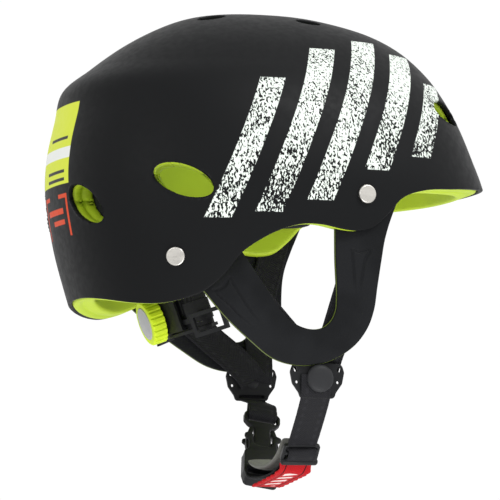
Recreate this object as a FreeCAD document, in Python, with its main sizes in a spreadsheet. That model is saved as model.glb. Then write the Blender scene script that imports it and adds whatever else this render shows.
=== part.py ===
import FreeCAD, Part

# Water-sports helmet. X points forward (brim), Y to the wearer's left, Z up, millimetres.
# The origin is on the symmetry plane, level with the rear rim, at the middle of the shell's length.

import math
import os

import Sketcher
from FreeCAD import Placement, Rotation, Vector

doc = FreeCAD.newDocument("water_helmet")
sheet = doc.addObject("Spreadsheet::Sheet", "sizes")

DRIVING_SIZES = {
    "shell_wall": 3,
    "foam_gap": 0.2,
    "foam_wall": 15,
    "foam_step": 1.2,
    "pad_wall": 7,
    "tab_wall": 3.2,
    "guard_wall": 4.4,
    "guard_skin": 1.2,
    "guard_core": 1.6,
    "web_width": 19,
    "web_wall": 1.5,
    "rivet_head": 11.5,
    "rivet_head_height": 2,
    "rivet_shank": 4,
    "washer_head": 9,
    "divider_width": 31,
    "divider_height": 18,
    "divider_wall": 3,
    "divider_cap": 17,
    "divider_cap_height": 3.4,
    "lock_width": 24,
    "lock_height": 15,
    "lock_depth": 4.2,
    "lock_slot": 3.4,
    "tab_length": 50,
    "buckle_width": 24,
    "buckle_depth": 9,
    "tongue_depth": 4.6,
    "band_radius": 72.1,
    "band_wall": 1.6,
    "cradle_tilt": 20,
    "cradle_height": 24,
    "cradle_half_angle": 38,
    "housing_half_angle": 20,
    "housing_height": 22,
    "dial_diameter": 29,
    "dial_depth": 9,
    "dial_grips": 22,
    "dial_grip_groove": 1.1,
    "dial_cap_diameter": 21,
    "pinion_radius": 4.5,
    "shaft_radius": 3,
}
for row, (name, value) in enumerate(DRIVING_SIZES.items(), start=1):
    sheet.set(f"A{row}", name)
    sheet.set(f"B{row}", str(value))
    sheet.setAlias(f"B{row}", name)
doc.recompute()


def v(name):
    """Value of a driving size."""
    return float(sheet.get(name))


# ---------------------------------------------------------------- outline data
# Dome levels, bottom to top: height, front reach, rear reach, half width.
DOME_LEVELS = [
    (-18, 151, -116, 92),
    (12, 150, -125.5, 98),
    (42, 148, -133.5, 103),
    (76, 141, -138.5, 105.5),
    (98, 132.5, -137.5, 103.5),
    (120, 123, -133, 98.5),
    (138, 113, -129, 90),
    (152, 103, -112.5, 79),
    (166, 88, -93.5, 65),
    (176.5, 69, -75, 50),
    (184.5, 41, -55, 33),
    (188, 20, -36, 19),
]
DOME_TOP = Vector(-8, 0, 189.5)
DOME_POWER = 2.35
DOME_HALF_LENGTH = 141
DOME_HALF_WIDTH = 105.5
DOME_RING_POINTS = 24

# Lower edge of the shell seen from the side, rear to front: x, z.
RIM = [
    (-160, 22), (-128, 8.5), (-117, 4.2), (-104, 0.8), (-90, 0), (-78, 2.5), (-67, 7), (-57, 16),
    (-46.8, 29.7), (-34, 38.8), (-22, 44.6), (-9, 48), (4, 48), (17.9, 45.6), (27, 45),
    (36, 47), (46, 55), (57.7, 66.7), (75, 72.5), (98, 75.2), (122, 78), (170, 84),
]

# Ventilation holes of the right side: centre, outward direction, long direction, half length, half width.
VENTS = [
    ((-82, -92.5, 73), (-0.42, -0.9, 0.1), (33, -15, -13), 19.5, 9.2),
    ((-129.7, -43, 61.5), (-0.87, -0.48, 0.05), (13, -27, -19), 18, 9),
    ((101, -56, 124), (0.68, -0.5, 0.55), (0.6, 0.78, -0.1), 18, 8.5),
    ((-44, -28, 183), (-0.2, -0.25, 0.95), (1, 0, 0.2), 9, 5.5),
    ((17, -37, 181), (0.1, -0.33, 0.93), (1, 0, -0.1), 8, 5.5),
]

# Ear guard outline of the right side, seen from the side: x, z.
GUARD_OUTER = [
    (56, 66), (48.5, 47), (44.9, 34.7), (41.6, 12), (39.8, -3.5), (36, -15), (28.1, -25.7),
    (13, -35), (-4.6, -37.6), (-20.6, -34), (-36.5, -22.5), (-52.8, -8), (-65.9, 6.8), (-78, 20),
]
GUARD_INNER = [
    (14, 66), (14.4, 45.5), (14.9, 26.8), (16.4, 3.3), (15.8, -5), (12.5, -11.5), (7, -15.2),
    (0, -15.6), (-8, -13), (-14.5, -8.9), (-28.5, 10), (-43, 30.2), (-55, 46),
]
FRONT_HINGE = (28, 43.5)
REAR_HINGE = (-64, 7)
HINGE_GAP = 0.8
FRONT_RIVET = (32, 66.7)
REAR_RIVET = (-84, 27)
FRONT_TAB = [(14.5, 20), (52, 20), (56, 66), (44, 77), (22, 77), (14.2, 66)]
REAR_TAB = [(-66, 0), (-28, 8), (-43, 30.2), (-58, 38), (-80, 39), (-95, 34), (-95, 18), (-80, 12)]
FRONT_WEB = ((34.3, 41.5), (14.3, -32.9))
REAR_WEB = ((-43.2, 15.2), (0.5, -32.5))
DIVIDER = (7, -47)
LEFT_FORWARD = 10
LEFT_LIFT = 6
LEFT, RIGHT = 1, -1


def settle(x, z, side):
    """The soft left side hangs a little further forward and higher than the right side."""
    if side == RIGHT:
        return x, z
    share = max(0.0, (20 - z) / 60)
    return x + LEFT_FORWARD * share, z + LEFT_LIFT * share


# ---------------------------------------------------------------- helpers
def dome(inset):
    """Closed dome solid, moved inwards everywhere by about `inset`."""
    kx = 1 - inset / DOME_HALF_LENGTH
    ky = 1 - inset / DOME_HALF_WIDTH
    kz = 1 - inset / DOME_TOP.z
    sections = []
    for z, front, rear, half in DOME_LEVELS:
        ring = []
        for step in range(DOME_RING_POINTS):
            angle = 2 * math.pi * step / DOME_RING_POINTS
            cosine, sine = math.cos(angle), math.sin(angle)
            reach = front - DOME_TOP.x if cosine > 0 else DOME_TOP.x - rear
            x = DOME_TOP.x + reach * math.copysign(abs(cosine) ** (2 / DOME_POWER), cosine)
            y = half * math.copysign(abs(sine) ** (2 / DOME_POWER), sine)
            ring.append(Vector(x * kx, y * ky, z * kz))
        curve = Part.BSplineCurve()
        knots = [step / DOME_RING_POINTS for step in range(DOME_RING_POINTS + 1)]
        curve.interpolate(Points=ring, PeriodicFlag=True, Parameters=knots)
        sections.append(Part.Wire(curve.toShape()))
    tip = Vector(DOME_TOP.x * kx, 0, DOME_TOP.z * kz)
    sections.append(Part.Vertex(tip))
    return Part.makeLoft(sections, True)


def spline_edge(points):
    """Smooth edge through points of the side view."""
    curve = Part.BSplineCurve()
    curve.interpolate([Vector(x, 0, z) for x, z in points])
    return curve.toShape()


def prism(edges, y_from, y_to):
    """Solid between two y planes over a closed outline of the side view."""
    face = Part.Face(Part.Wire(edges))
    face.translate(Vector(0, y_from, 0))
    return face.extrude(Vector(0, y_to - y_from, 0))


def polygon_prism(points, y_from=0, y_to=160):
    corners = [Vector(x, 0, z) for x, z in points]
    edges = Part.makePolygon(corners + corners[:1]).Edges
    return prism(edges, y_from, y_to)


def strap_prism(start, end, width):
    """Side-view strip of a strap between two centre points."""
    run = Vector(end[0] - start[0], 0, end[1] - start[1])
    run.normalize()
    across = Vector(-run.z, 0, run.x) * (width / 2)
    corners = []
    for (x, z), sign in ((start, 1), (end, 1), (end, -1), (start, -1)):
        corners.append((x + sign * across.x, z + sign * across.z))
    return polygon_prism(corners)


def guard_y(x, z):
    """Distance of the ear guard's middle layer from the symmetry plane."""
    return 89.5 + 0.105 * x + 0.085 * z - 3 * ((z - 20) / 60) ** 2


def side_sheet(offset, thickness):
    """Slab that follows the ear guard, on the left side."""
    grid = []
    for x in range(-100, 101, 40):
        grid.append([Vector(x, guard_y(x, z) + offset, z) for z in range(-70, 91, 40)])
    surface = Part.BSplineSurface()
    surface.interpolate(grid)
    return surface.toShape().extrude(Vector(0, thickness, 0))


def to_side(shape, side):
    if side == LEFT:
        return shape
    return shape.mirror(Vector(0, 0, 0), Vector(0, 1, 0))


def sector(radius_in, radius_out, angle_from, angle_to, z_from, z_to):
    """Piece of a ring about Z; angles are degrees to the left of straight back."""
    outer = Part.makeCylinder(radius_out, z_to - z_from, Vector(0, 0, z_from), Vector(0, 0, 1),
                              angle_to - angle_from)
    inner = Part.makeCylinder(radius_in, z_to - z_from + 2, Vector(0, 0, z_from - 1))
    piece = outer.cut(inner)
    piece.rotate(Vector(0, 0, 0), Vector(0, 0, 1), 180 - angle_to)
    return piece


def frame_placement(base, up, across):
    """Local Z along `up` and local X along `across`, as far as it is square to `up`."""
    up = Vector(*up)
    across = Vector(*across)
    return Placement(Vector(*base), Rotation(across, up.cross(across), up, "ZXY"))


parts = {}


def feature(name, shape, placement=None):
    """Sub-part whose shape comes from Part's own functions."""
    piece = doc.addObject("Part::Feature", name)
    piece.Label = name
    own = shape.Placement
    piece.Shape = shape
    piece.Placement = own if placement is None else placement.multiply(own)
    parts[name] = piece
    return piece


def primitive(kind, name, sizes, placement=None):
    """Part primitive with each size bound to an expression."""
    piece = doc.addObject(f"Part::{kind}", name)
    for size_name, expression in sizes.items():
        piece.setExpression(size_name, expression)
    if placement is not None:
        piece.Placement = placement
    return piece


def body(name, placement):
    piece = doc.addObject("PartDesign::Body", name)
    piece.Label = name
    piece.Placement = placement
    parts[name] = piece
    return piece


def sketch_on(owner, name, role, lift="0"):
    """Empty sketch on one of the body's own origin planes, moved along the plane's normal."""
    sketch = owner.newObject("Sketcher::SketchObject", name)
    plane = next(item for item in owner.Origin.OriginFeatures if item.Role == role)
    sketch.AttachmentSupport = [(plane, "")]
    sketch.MapMode = "FlatFace"
    sketch.setExpression("AttachmentOffset.Base.z", lift)
    return sketch


def add_rectangle(sketch, width, height, middle_x="0", middle_y="0"):
    """Rectangle with its size and its middle bound to expressions."""
    first = sketch.GeometryCount
    corners = [Vector(-1, -1, 0), Vector(1, -1, 0), Vector(1, 1, 0), Vector(-1, 1, 0)]
    for step in range(4):
        sketch.addGeometry(Part.LineSegment(corners[step], corners[(step + 1) % 4]), False)
    for step in range(4):
        sketch.addConstraint(Sketcher.Constraint("Coincident", first + step, 2, first + (step + 1) % 4, 1))
    for step, direction in enumerate(("Horizontal", "Vertical", "Horizontal", "Vertical")):
        sketch.addConstraint(Sketcher.Constraint(direction, first + step))
    bound = [
        (Sketcher.Constraint("DistanceX", first, 1, first, 2, 2), width),
        (Sketcher.Constraint("DistanceY", first + 1, 1, first + 1, 2, 2), height),
        (Sketcher.Constraint("DistanceX", -1, 1, first + 1, 2, 1), f"({middle_x}) + ({width}) / 2"),
        (Sketcher.Constraint("DistanceY", -1, 1, first + 1, 2, 1), f"({middle_y}) + ({height}) / 2"),
    ]
    for constraint, expression in bound:
        index = sketch.addConstraint(constraint)
        sketch.setExpression(f"Constraints[{index}]", expression)


def add_circle(sketch, radius, middle_x="0", middle_y="0"):
    first = sketch.GeometryCount
    sketch.addGeometry(Part.Circle(Vector(1, 1, 0), Vector(0, 0, 1), 2), False)
    index = sketch.addConstraint(Sketcher.Constraint("Radius", first, 2))
    sketch.setExpression(f"Constraints[{index}]", radius)
    for direction, middle in (("DistanceX", middle_x), ("DistanceY", middle_y)):
        index = sketch.addConstraint(Sketcher.Constraint(direction, -1, 1, first, 3, 1))
        sketch.setExpression(f"Constraints[{index}]", middle)


def pad(owner, name, sketch, length):
    step = owner.newObject("PartDesign::Pad", name)
    step.Profile = sketch
    step.setExpression("Length", length)
    sketch.Visibility = False
    return step


def pocket(owner, name, sketch, length, both_ways=True):
    step = owner.newObject("PartDesign::Pocket", name)
    step.Profile = sketch
    step.Midplane = both_ways
    step.setExpression("Length", length)
    return step


def round_edges(owner, name, base, radius, choose):
    """Fillet of the base's edges that `choose` accepts."""
    doc.recompute()
    names = [f"Edge{index}" for index, edge in enumerate(base.Shape.Edges, start=1) if choose(edge)]
    step = owner.newObject("PartDesign::Fillet", name)
    step.Base = (base, names)
    step.Radius = radius
    doc.recompute()
    return step


def along(edge, axis):
    """True where a straight edge runs along the given axis."""
    if not isinstance(edge.Curve, (Part.Line, Part.LineSegment)):
        return False
    run = edge.Vertexes[-1].Point - edge.Vertexes[0].Point
    return abs(run.normalize().dot(axis)) > 0.999


# ---------------------------------------------------------------- shell, foam, vents
shell_outer = dome(0)
shell_inner = dome(v("shell_wall"))
foam_outer = dome(v("shell_wall") + v("foam_gap"))
foam_inner = dome(v("shell_wall") + v("foam_gap") + v("foam_wall"))

rim_edge = spline_edge(RIM)
rim_start, rim_end = rim_edge.Vertexes[0].Point, rim_edge.Vertexes[-1].Point
floor_corners = [rim_end, Vector(rim_end.x, 0, -60), Vector(rim_start.x, 0, -60), rim_start]
below_rim = prism([rim_edge] + Part.makePolygon(floor_corners).Edges, -150, 150)
below_foam = below_rim.translated(Vector(0, 0, v("foam_step")))


def vent_tool(centre, outward, along_slot, half_length, half_width, depth=70):
    """Oval punch through the shell and the foam."""
    oval = Part.Ellipse(Vector(0, 0, 0), half_length, half_width)
    tool = Part.Face(Part.Wire(oval.toShape())).extrude(Vector(0, 0, depth))
    tool.translate(Vector(0, 0, -depth * 0.6))
    tool.Placement = frame_placement(centre, outward, along_slot).multiply(tool.Placement)
    return tool


vent_tools = []
for centre, outward, along_slot, half_length, half_width in VENTS:
    tool = vent_tool(centre, outward, along_slot, half_length, half_width)
    vent_tools += [tool, to_side(tool, RIGHT)]

# The tabs lie between shell and foam, follow the shell, and end just above the ear guard's hinge line.
hinge_slope = (FRONT_HINGE[1] - REAR_HINGE[1]) / (FRONT_HINGE[0] - REAR_HINGE[0])


def hinge_z(x, offset=0.0):
    return REAR_HINGE[1] + hinge_slope * (x - REAR_HINGE[0]) + offset


tab_gap = v("shell_wall") + v("foam_gap")
tab_layer = foam_outer.cut(dome(tab_gap + v("tab_wall")))
tab_pocket_layer = foam_outer.cut(dome(tab_gap + v("tab_wall") + 3))
above_hinge = polygon_prism([(-120, hinge_z(-120, HINGE_GAP)), (90, hinge_z(90, HINGE_GAP)),
                             (90, 120), (-120, 120)])
guard_edges = [spline_edge(GUARD_OUTER), spline_edge(GUARD_INNER)]
TAB_OUTLINES = {"front": (FRONT_TAB, FRONT_RIVET), "rear": (REAR_TAB, REAR_RIVET)}


def shell_point(x, z, side):
    """Point and outward normal of the shell's outer face above a side-view point."""
    probe = Part.makeLine(Vector(x, 0, z), Vector(x, side * 200, z))
    hit = shell_outer.common(probe).Vertexes
    point = max((vertex.Point for vertex in hit), key=lambda p: abs(p.y))
    small = 1.0
    ahead = shell_outer.common(Part.makeLine(Vector(x + small, 0, z), Vector(x + small, side * 200, z)))
    above = shell_outer.common(Part.makeLine(Vector(x, 0, z + small), Vector(x, side * 200, z + small)))
    ahead = max((vertex.Point for vertex in ahead.Vertexes), key=lambda p: abs(p.y))
    above = max((vertex.Point for vertex in above.Vertexes), key=lambda p: abs(p.y))
    normal = (ahead - point).cross(above - point)
    normal.normalize()
    if normal.y * side < 0:
        normal = normal * -1
    return point, normal


rivets = []
for side in (LEFT, RIGHT):
    for x, z in (FRONT_RIVET, REAR_RIVET):
        point, normal = shell_point(x, z, side)
        rivets.append(frame_placement(point, normal, (1, 0, 0)))

rivet_holes = []
for place in rivets:
    hole = Part.makeCylinder(v("rivet_shank") / 2, 30, Vector(0, 0, -20))
    hole.Placement = place
    rivet_holes.append(hole)

shell = shell_outer.cut(shell_inner).cut(below_rim).cut(vent_tools + rivet_holes)
feature("outer_shell", shell.Solids[0])

foam = foam_outer.cut(foam_inner).cut(below_foam).cut(vent_tools)
FOAM_SEAM = 0.1
FOAM_SEAM_ANGLES = (-146, -55, 55, 146)
CROWN_BLOCK_FROM = 147
SMALLEST_BLOCK = 2000
HANGER_PIN = Vector(-73.4, 0, 23.4)
HANGER_PIN_RADIUS = 1.5
for side in (LEFT, RIGHT):
    side_name = "left" if side == LEFT else "right"
    bracket = Part.makeBox(42, 3, 9, Vector(-112, 26.4, 19))
    bore = Part.makeCylinder(HANGER_PIN_RADIUS, 20, Vector(HANGER_PIN.x, 20, HANGER_PIN.z), Vector(0, 1, 0))
    bracket = to_side(bracket, side)
    foam = foam.cut(bracket)
    feature(f"hanger_bracket_{side_name}", bracket.cut(to_side(bore, side)))
for side in (LEFT, RIGHT):
    for end, (outline, rivet) in TAB_OUTLINES.items():
        pocket_shape = tab_pocket_layer.common(polygon_prism(outline)).common(
            polygon_prism([(-120, hinge_z(-120, -20)), (90, hinge_z(90, -20)), (90, 120), (-120, 120)]))
        foam = foam.cut(to_side(pocket_shape, side))
        tab = tab_layer.common(polygon_prism(outline)).common(above_hinge)
        arm = prism(guard_edges[:1] + [Part.makeLine(guard_edges[0].Vertexes[-1].Point,
                                                     guard_edges[1].Vertexes[-1].Point),
                                       guard_edges[1],
                                       Part.makeLine(guard_edges[1].Vertexes[0].Point,
                                                     guard_edges[0].Vertexes[0].Point)], 0, 160)
        rim_side = below_rim.common(Part.makeBox(400, 150, 400, Vector(-200, 0, -200)))
        tab = tab.cut(rim_side.cut(arm))
        tab = to_side(tab, side).cut(rivet_holes)
        side_name = "left" if side == LEFT else "right"
        feature(f"anchor_tab_{end}_{side_name}", max(tab.Solids, key=lambda s: s.Volume))

# The liner is five moulded blocks, butted together: a crown block over front, rear and side blocks.
seams = [Part.makeBox(400, 300, FOAM_SEAM, Vector(-200, -150, CROWN_BLOCK_FROM))]
for angle in FOAM_SEAM_ANGLES:
    seam = Part.makeBox(200, FOAM_SEAM, CROWN_BLOCK_FROM + 60, Vector(0, 0, -60))
    seam.Placement = Placement(Vector(DOME_TOP.x, 0, 0), Rotation(Vector(0, 0, 1), angle))
    seams.append(seam)
foam = foam.cut(seams)
blocks = [solid for solid in foam.Solids if solid.Volume > SMALLEST_BLOCK]
feature("foam_liner", Part.makeCompound(blocks))

# ---------------------------------------------------------------- comfort pads
pad_gap = v("shell_wall") + v("foam_gap") + v("foam_wall") + 0.3
pad_layer = dome(pad_gap).cut(dome(pad_gap + v("pad_wall")))
PAD_BLOCKS = {
    "front_pad": ((70, -55, 84), (90, 110, 26)),
    "rear_pad": ((-160, -45, 40), (80, 90, 42)),
    "side_pad_left": ((0, 60, 62), (62, 60, 34)),
    "side_pad_right": ((0, -120, 62), (62, 60, 34)),
    "crown_pad": ((-50, -22, 150), (84, 44, 40)),
}
for name, (corner, block) in PAD_BLOCKS.items():
    region = Part.makeBox(*block, Vector(*corner))
    region = region.makeFillet(8, region.Edges)
    piece = pad_layer.common(region).cut(vent_tools)
    feature(name, max(piece.Solids, key=lambda s: s.Volume))

# ---------------------------------------------------------------- rivets
caps, backs = [], []
for index, place in enumerate(rivets):
    head = primitive("Cylinder", f"rivet_head_{index}", {
        "Radius": "sizes.rivet_head / 2", "Height": "sizes.rivet_head_height"})
    doc.recompute()
    dome_edge = doc.addObject("Part::Fillet", f"rivet_cap_{index}")
    dome_edge.Base = head
    top_edge = max(range(1, 4), key=lambda k: head.Shape.Edges[k - 1].CenterOfMass.z)
    dome_edge.Edges = [(top_edge, 0.9, 0.9)]
    shank = primitive("Cylinder", f"rivet_shank_{index}", {
        "Radius": "sizes.rivet_shank / 2 - 0.1", "Height": "8"}, Placement(Vector(0, 0, -7.9), Rotation()))
    cap = doc.addObject("Part::MultiFuse", f"rivet_{index}")
    cap.Shapes = [dome_edge, shank]
    cap.Placement = place
    caps.append(cap)
    washer = primitive("Cylinder", f"washer_disc_{index}", {
        "Radius": "sizes.washer_head / 2", "Height": "1.2"})
    bore = primitive("Cylinder", f"washer_bore_{index}", {
        "Radius": "sizes.rivet_shank / 2", "Height": "3"}, Placement(Vector(0, 0, -1), Rotation()))
    back = doc.addObject("Part::Cut", f"washer_{index}")
    back.Base = washer
    back.Tool = bore
    back.Placement = place.multiply(Placement(Vector(0, 0, -8.1), Rotation()))
    backs.append(back)
for name, members in (("rivet_caps", caps), ("rivet_washers", backs)):
    group = doc.addObject("Part::Compound", name)
    group.Label = name
    group.Links = members
    parts[name] = group

# ---------------------------------------------------------------- ear guards and their webbing
guard_layers = {
    "skin": (v("guard_wall") / 2 - v("guard_skin"), v("guard_skin")),
    "core": (v("guard_wall") / 2 - v("guard_skin") - v("guard_core"), v("guard_core")),
    "lining": (-v("guard_wall") / 2, v("guard_wall") - v("guard_skin") - v("guard_core")),
}
below_hinge = polygon_prism([(-120, hinge_z(-120, -HINGE_GAP)), (90, hinge_z(90, -HINGE_GAP)),
                             (90, -90), (-120, -90)])
for side in (LEFT, RIGHT):
    side_name = "left" if side == LEFT else "right"
    outer = spline_edge([settle(x, z, side) for x, z in GUARD_OUTER])
    inner = spline_edge([settle(x, z, side) for x, z in GUARD_INNER])
    closers = [Part.makeLine(outer.Vertexes[k].Point, inner.Vertexes[k].Point) for k in (0, -1)]
    outline = prism([outer, closers[1], inner, closers[0]], 0, 160).common(below_hinge)
    for layer, (offset, thickness) in guard_layers.items():
        piece = side_sheet(offset, thickness).common(outline)
        feature(f"ear_guard_{layer}_{side_name}", to_side(piece.Solids[0], side))
    webs = (("front_web", FRONT_WEB, -5.1), ("rear_web", REAR_WEB, -7.0))
    for web_name, (start, end), offset in webs:
        strip = strap_prism(settle(*start, side), settle(*end, side), v("web_width")).common(below_hinge)
        piece = side_sheet(offset, v("web_wall")).common(strip)
        feature(f"{web_name}_{side_name}", to_side(piece.Solids[0], side))

# ---------------------------------------------------------------- strap dividers with snap caps
DIVIDER_Y = 80.6
for side in (LEFT, RIGHT):
    side_name = "left" if side == LEFT else "right"
    x, z = settle(*DIVIDER, side)
    place = frame_placement((x, side * DIVIDER_Y, z), (0, side, 0), (1, 0, 0))
    plate = body(f"divider_plate_{side_name}", place)
    outline = sketch_on(plate, f"divider_outline_{side_name}", "XY_Plane")
    add_rectangle(outline, "sizes.divider_width", "sizes.divider_height")
    slab = pad(plate, f"divider_slab_{side_name}", outline, "sizes.divider_wall")
    slots = sketch_on(plate, f"divider_slots_{side_name}", "XY_Plane")
    add_rectangle(slots, "6", "2.6", "11", f"{-4 * side}")
    add_rectangle(slots, "6", "2.6", "-11", f"{-4 * side}")
    add_circle(slots, "1.4", "10.5", f"{4.6 * side}")
    add_circle(slots, "1.4", "-10.5", f"{4.6 * side}")
    holes = pocket(plate, f"divider_holes_{side_name}", slots, "20")
    round_edges(plate, f"divider_corners_{side_name}", holes, 5.5,
                lambda edge: along(edge, Vector(0, 0, 1)) and abs(edge.CenterOfMass.x) > 15)
    cap_place = place.multiply(Placement(Vector(0, 0, v("divider_wall")), Rotation()))
    cap = body(f"divider_cap_{side_name}", cap_place)
    disc = sketch_on(cap, f"cap_disc_{side_name}", "XY_Plane")
    add_circle(disc, "sizes.divider_cap / 2")
    button = pad(cap, f"cap_button_{side_name}", disc, "sizes.divider_cap_height")
    round_edges(cap, f"cap_rounding_{side_name}", button, 1.4, lambda edge: edge.CenterOfMass.z > 1)

# ---------------------------------------------------------------- chin webbing, ladder lock, pull tab
RIGHT_WEB_END = Vector(9, -48.5, -83)
LOCK_MIDDLE = Vector(9.4, -43, -89)
MALE_MIDDLE = Vector(18.5, 61, -65)
BUCKLE_DOWN = Vector(-0.2, -0.58, -0.79)
BUCKLE_ACROSS = Vector(0.97, -0.1, -0.17)
WEB_REACH = 7.2


def web_strip(name, start, end, across, width):
    """Straight run of webbing between two points."""
    run = end - start
    place = frame_placement(start, run, across)
    length = f"{run.Length:.3f}"
    strip = primitive("Box", name, {"Length": width, "Width": "sizes.web_wall", "Height": length})
    strip.Label = name
    doc.recompute()
    corner = Placement(Vector(-strip.Length.Value / 2, -strip.Width.Value / 2, 0), Rotation())
    strip.Placement = place.multiply(corner)
    parts[name] = strip


x, z = settle(*DIVIDER, RIGHT)
web_strip("chin_web_right", Vector(x, -(DIVIDER_Y - 2.2), z), RIGHT_WEB_END, (1, 0, 0), "sizes.web_width")
x, z = settle(*DIVIDER, LEFT)
web_strip("chin_web_left", Vector(x, DIVIDER_Y - 2.2, z), MALE_MIDDLE - BUCKLE_DOWN * WEB_REACH,
          (1, 0, 0), "sizes.web_width")

lock_up = RIGHT_WEB_END - LOCK_MIDDLE
lock = body("ladder_lock", frame_placement(LOCK_MIDDLE, lock_up, (1, 0, 0)))
lock_face = sketch_on(lock, "lock_outline", "XZ_Plane", "-sizes.lock_depth / 2")
add_rectangle(lock_face, "sizes.lock_width", "sizes.lock_height")
lock_block = pad(lock, "lock_block", lock_face, "sizes.lock_depth")
lock_slots = sketch_on(lock, "lock_slots", "XZ_Plane")
add_rectangle(lock_slots, "sizes.web_width + 1", "sizes.lock_slot", "0", "3")
add_rectangle(lock_slots, "sizes.web_width + 1", "sizes.lock_slot", "0", "-3")
lock_holes = pocket(lock, "lock_holes", lock_slots, "20")
round_edges(lock, "lock_corners", lock_holes, 1.8,
            lambda edge: along(edge, Vector(0, 1, 0)) and abs(edge.CenterOfMass.x) > 11)


def ribbon(path, thickness, x_from, x_to):
    """Band of even thickness along a smooth path of y, z points, between two x planes."""
    middle = Part.BSplineCurve()
    middle.interpolate([Vector(x_from, y, z) for y, z in path])
    sides = []
    for sign in (1, -1):
        rail = []
        for y, z in path:
            point = Vector(x_from, y, z)
            tangent = Vector(*middle.tangent(middle.parameter(point))[0])
            rail.append(point + Vector(0, -tangent.z, tangent.y) * (sign * thickness / 2))
        curve = Part.BSplineCurve()
        curve.interpolate(rail)
        sides.append(curve.toShape())
    ends = [Part.makeLine(sides[0].Vertexes[k].Point, sides[1].Vertexes[k].Point) for k in (0, -1)]
    face = Part.Face(Part.Wire([sides[0], ends[1], sides[1], ends[0]]))
    return face.extrude(Vector(x_to - x_from, 0, 0))


CHIN_WEB_PATH = [(-35, -93.6), (-18, -100), (0, -102.6), (12, -103.1), (24.5, -102.8)]
CHIN_PAD_PATH = [(-38, -80), (-30, -88.5), (-14, -95), (6, -96.5), (22, -94.5), (32, -91.5)]
CHIN_MIDDLE_X = 9.5
web_half = v("web_width") / 2
feature("chin_web_under", ribbon(CHIN_WEB_PATH, v("web_wall"), CHIN_MIDDLE_X - web_half,
                                 CHIN_MIDDLE_X + web_half))
pad_half = web_half + 1.5
chin_pad = ribbon(CHIN_PAD_PATH, 4, CHIN_MIDDLE_X - pad_half, CHIN_MIDDLE_X + pad_half)
feature("chin_pad", chin_pad)
web_strip("pull_tab", Vector(9.4, -45, -96.6), Vector(3.4, 4, -109), (1, 0.1, 0), "sizes.web_width + 1")
fold_place = lock.Placement.multiply(Placement(Vector(0, -v("lock_depth") / 2 - 1.3, -1), Rotation()))
web_strip("lock_web_fold", fold_place.Base, fold_place.multVec(Vector(0, 0, 7)), (1, 0, 0),
          "sizes.web_width")

# ---------------------------------------------------------------- side-release buckle
buckle = frame_placement(MALE_MIDDLE, BUCKLE_DOWN * -1, BUCKLE_ACROSS)
PRONG_OUTLINE = [(5.9, -7), (8.2, -7), (10.5, -15), (10.7, -24), (8.6, -29.5), (7.2, -24), (7.6, -17),
                 (5.9, -11)]


def block(name, size, middle):
    """Box with sizes bound to expressions, centred on a point of the buckle's own frame."""
    length, width, height = size
    piece = primitive("Box", name, {"Length": length, "Width": width, "Height": height})
    doc.recompute()
    corner = Vector(-piece.Length.Value / 2, -piece.Width.Value / 2, -piece.Height.Value / 2)
    piece.Placement = Placement(corner + Vector(*middle), Rotation())
    return piece


def combine(name, kind, members, placement=None, keep=True):
    piece = doc.addObject(f"Part::{kind}", name)
    if kind == "Cut":
        piece.Base, piece.Tool = members
    else:
        piece.Shapes = members
    if placement is not None:
        piece.Placement = placement
    if keep:
        piece.Label = name
        parts[name] = piece
    return piece


male_solids = combine("male_solids", "MultiFuse", [
    block("male_bar", ("sizes.buckle_width - 2", "sizes.tongue_depth", "10"), (0, 0, 0)),
    block("male_neck", ("10.4", "sizes.tongue_depth", "10"), (0, 0, -9)),
    block("male_tongue", ("8", "sizes.tongue_depth - 1.6", "20"), (0, 0, -22)),
], keep=False)
male_slot = block("male_slot", ("sizes.web_width + 0.6", "20", "3.2"), (0, 0, 0.4))
combine("buckle_male", "Cut", [male_solids, male_slot], buckle)

female_cuts = combine("female_cuts", "MultiFuse", [
    block("female_cavity", ("sizes.buckle_width - 2.2", "sizes.tongue_depth + 0.6", "24"), (0, 0, -24)),
    block("female_windows", ("sizes.buckle_width + 4", "sizes.tongue_depth + 0.6", "12"), (0, 0, -17)),
    block("female_slot", ("sizes.web_width + 0.6", "20", "3.4"), (0, 0, -44)),
], keep=False)
female_body = block("female_body", ("sizes.buckle_width", "sizes.buckle_depth", "38"), (0, 0, -33))
female_round = doc.addObject("Part::Fillet", "female_round")
female_round.Base = female_body
female_round.Edges = [(k, 2.2, 2.2) for k, edge in enumerate(female_body.Shape.Edges, start=1)
                      if along(edge, Vector(0, 0, 1)) or along(edge, Vector(1, 0, 0))]
combine("buckle_female", "Cut", [female_round, female_cuts], buckle)

for prong_name, sign in (("buckle_prong_front", 1), ("buckle_prong_rear", -1)):
    outline = [Vector(sign * x, -1.9, z) for x, z in PRONG_OUTLINE]
    face = Part.Face(Part.makePolygon(outline + outline[:1]))
    feature(prong_name, face.extrude(Vector(0, 3.8, 0)), buckle)

# ---------------------------------------------------------------- rear cradle, dial and bands
cradle_place = Placement(Vector(1, 0, 20.7), Rotation(Vector(0, 1, 0), -v("cradle_tilt")))
cradle_half = v("cradle_height") / 2
cradle_angle = v("cradle_half_angle")
BAND_GAP = 0.3
band_in = v("band_radius") - v("band_wall") / 2
band_out = v("band_radius") + v("band_wall") / 2
plate_out = band_in - BAND_GAP
plate_in = plate_out - 2
local_pin = cradle_place.inverse().multVec(HANGER_PIN)

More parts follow.
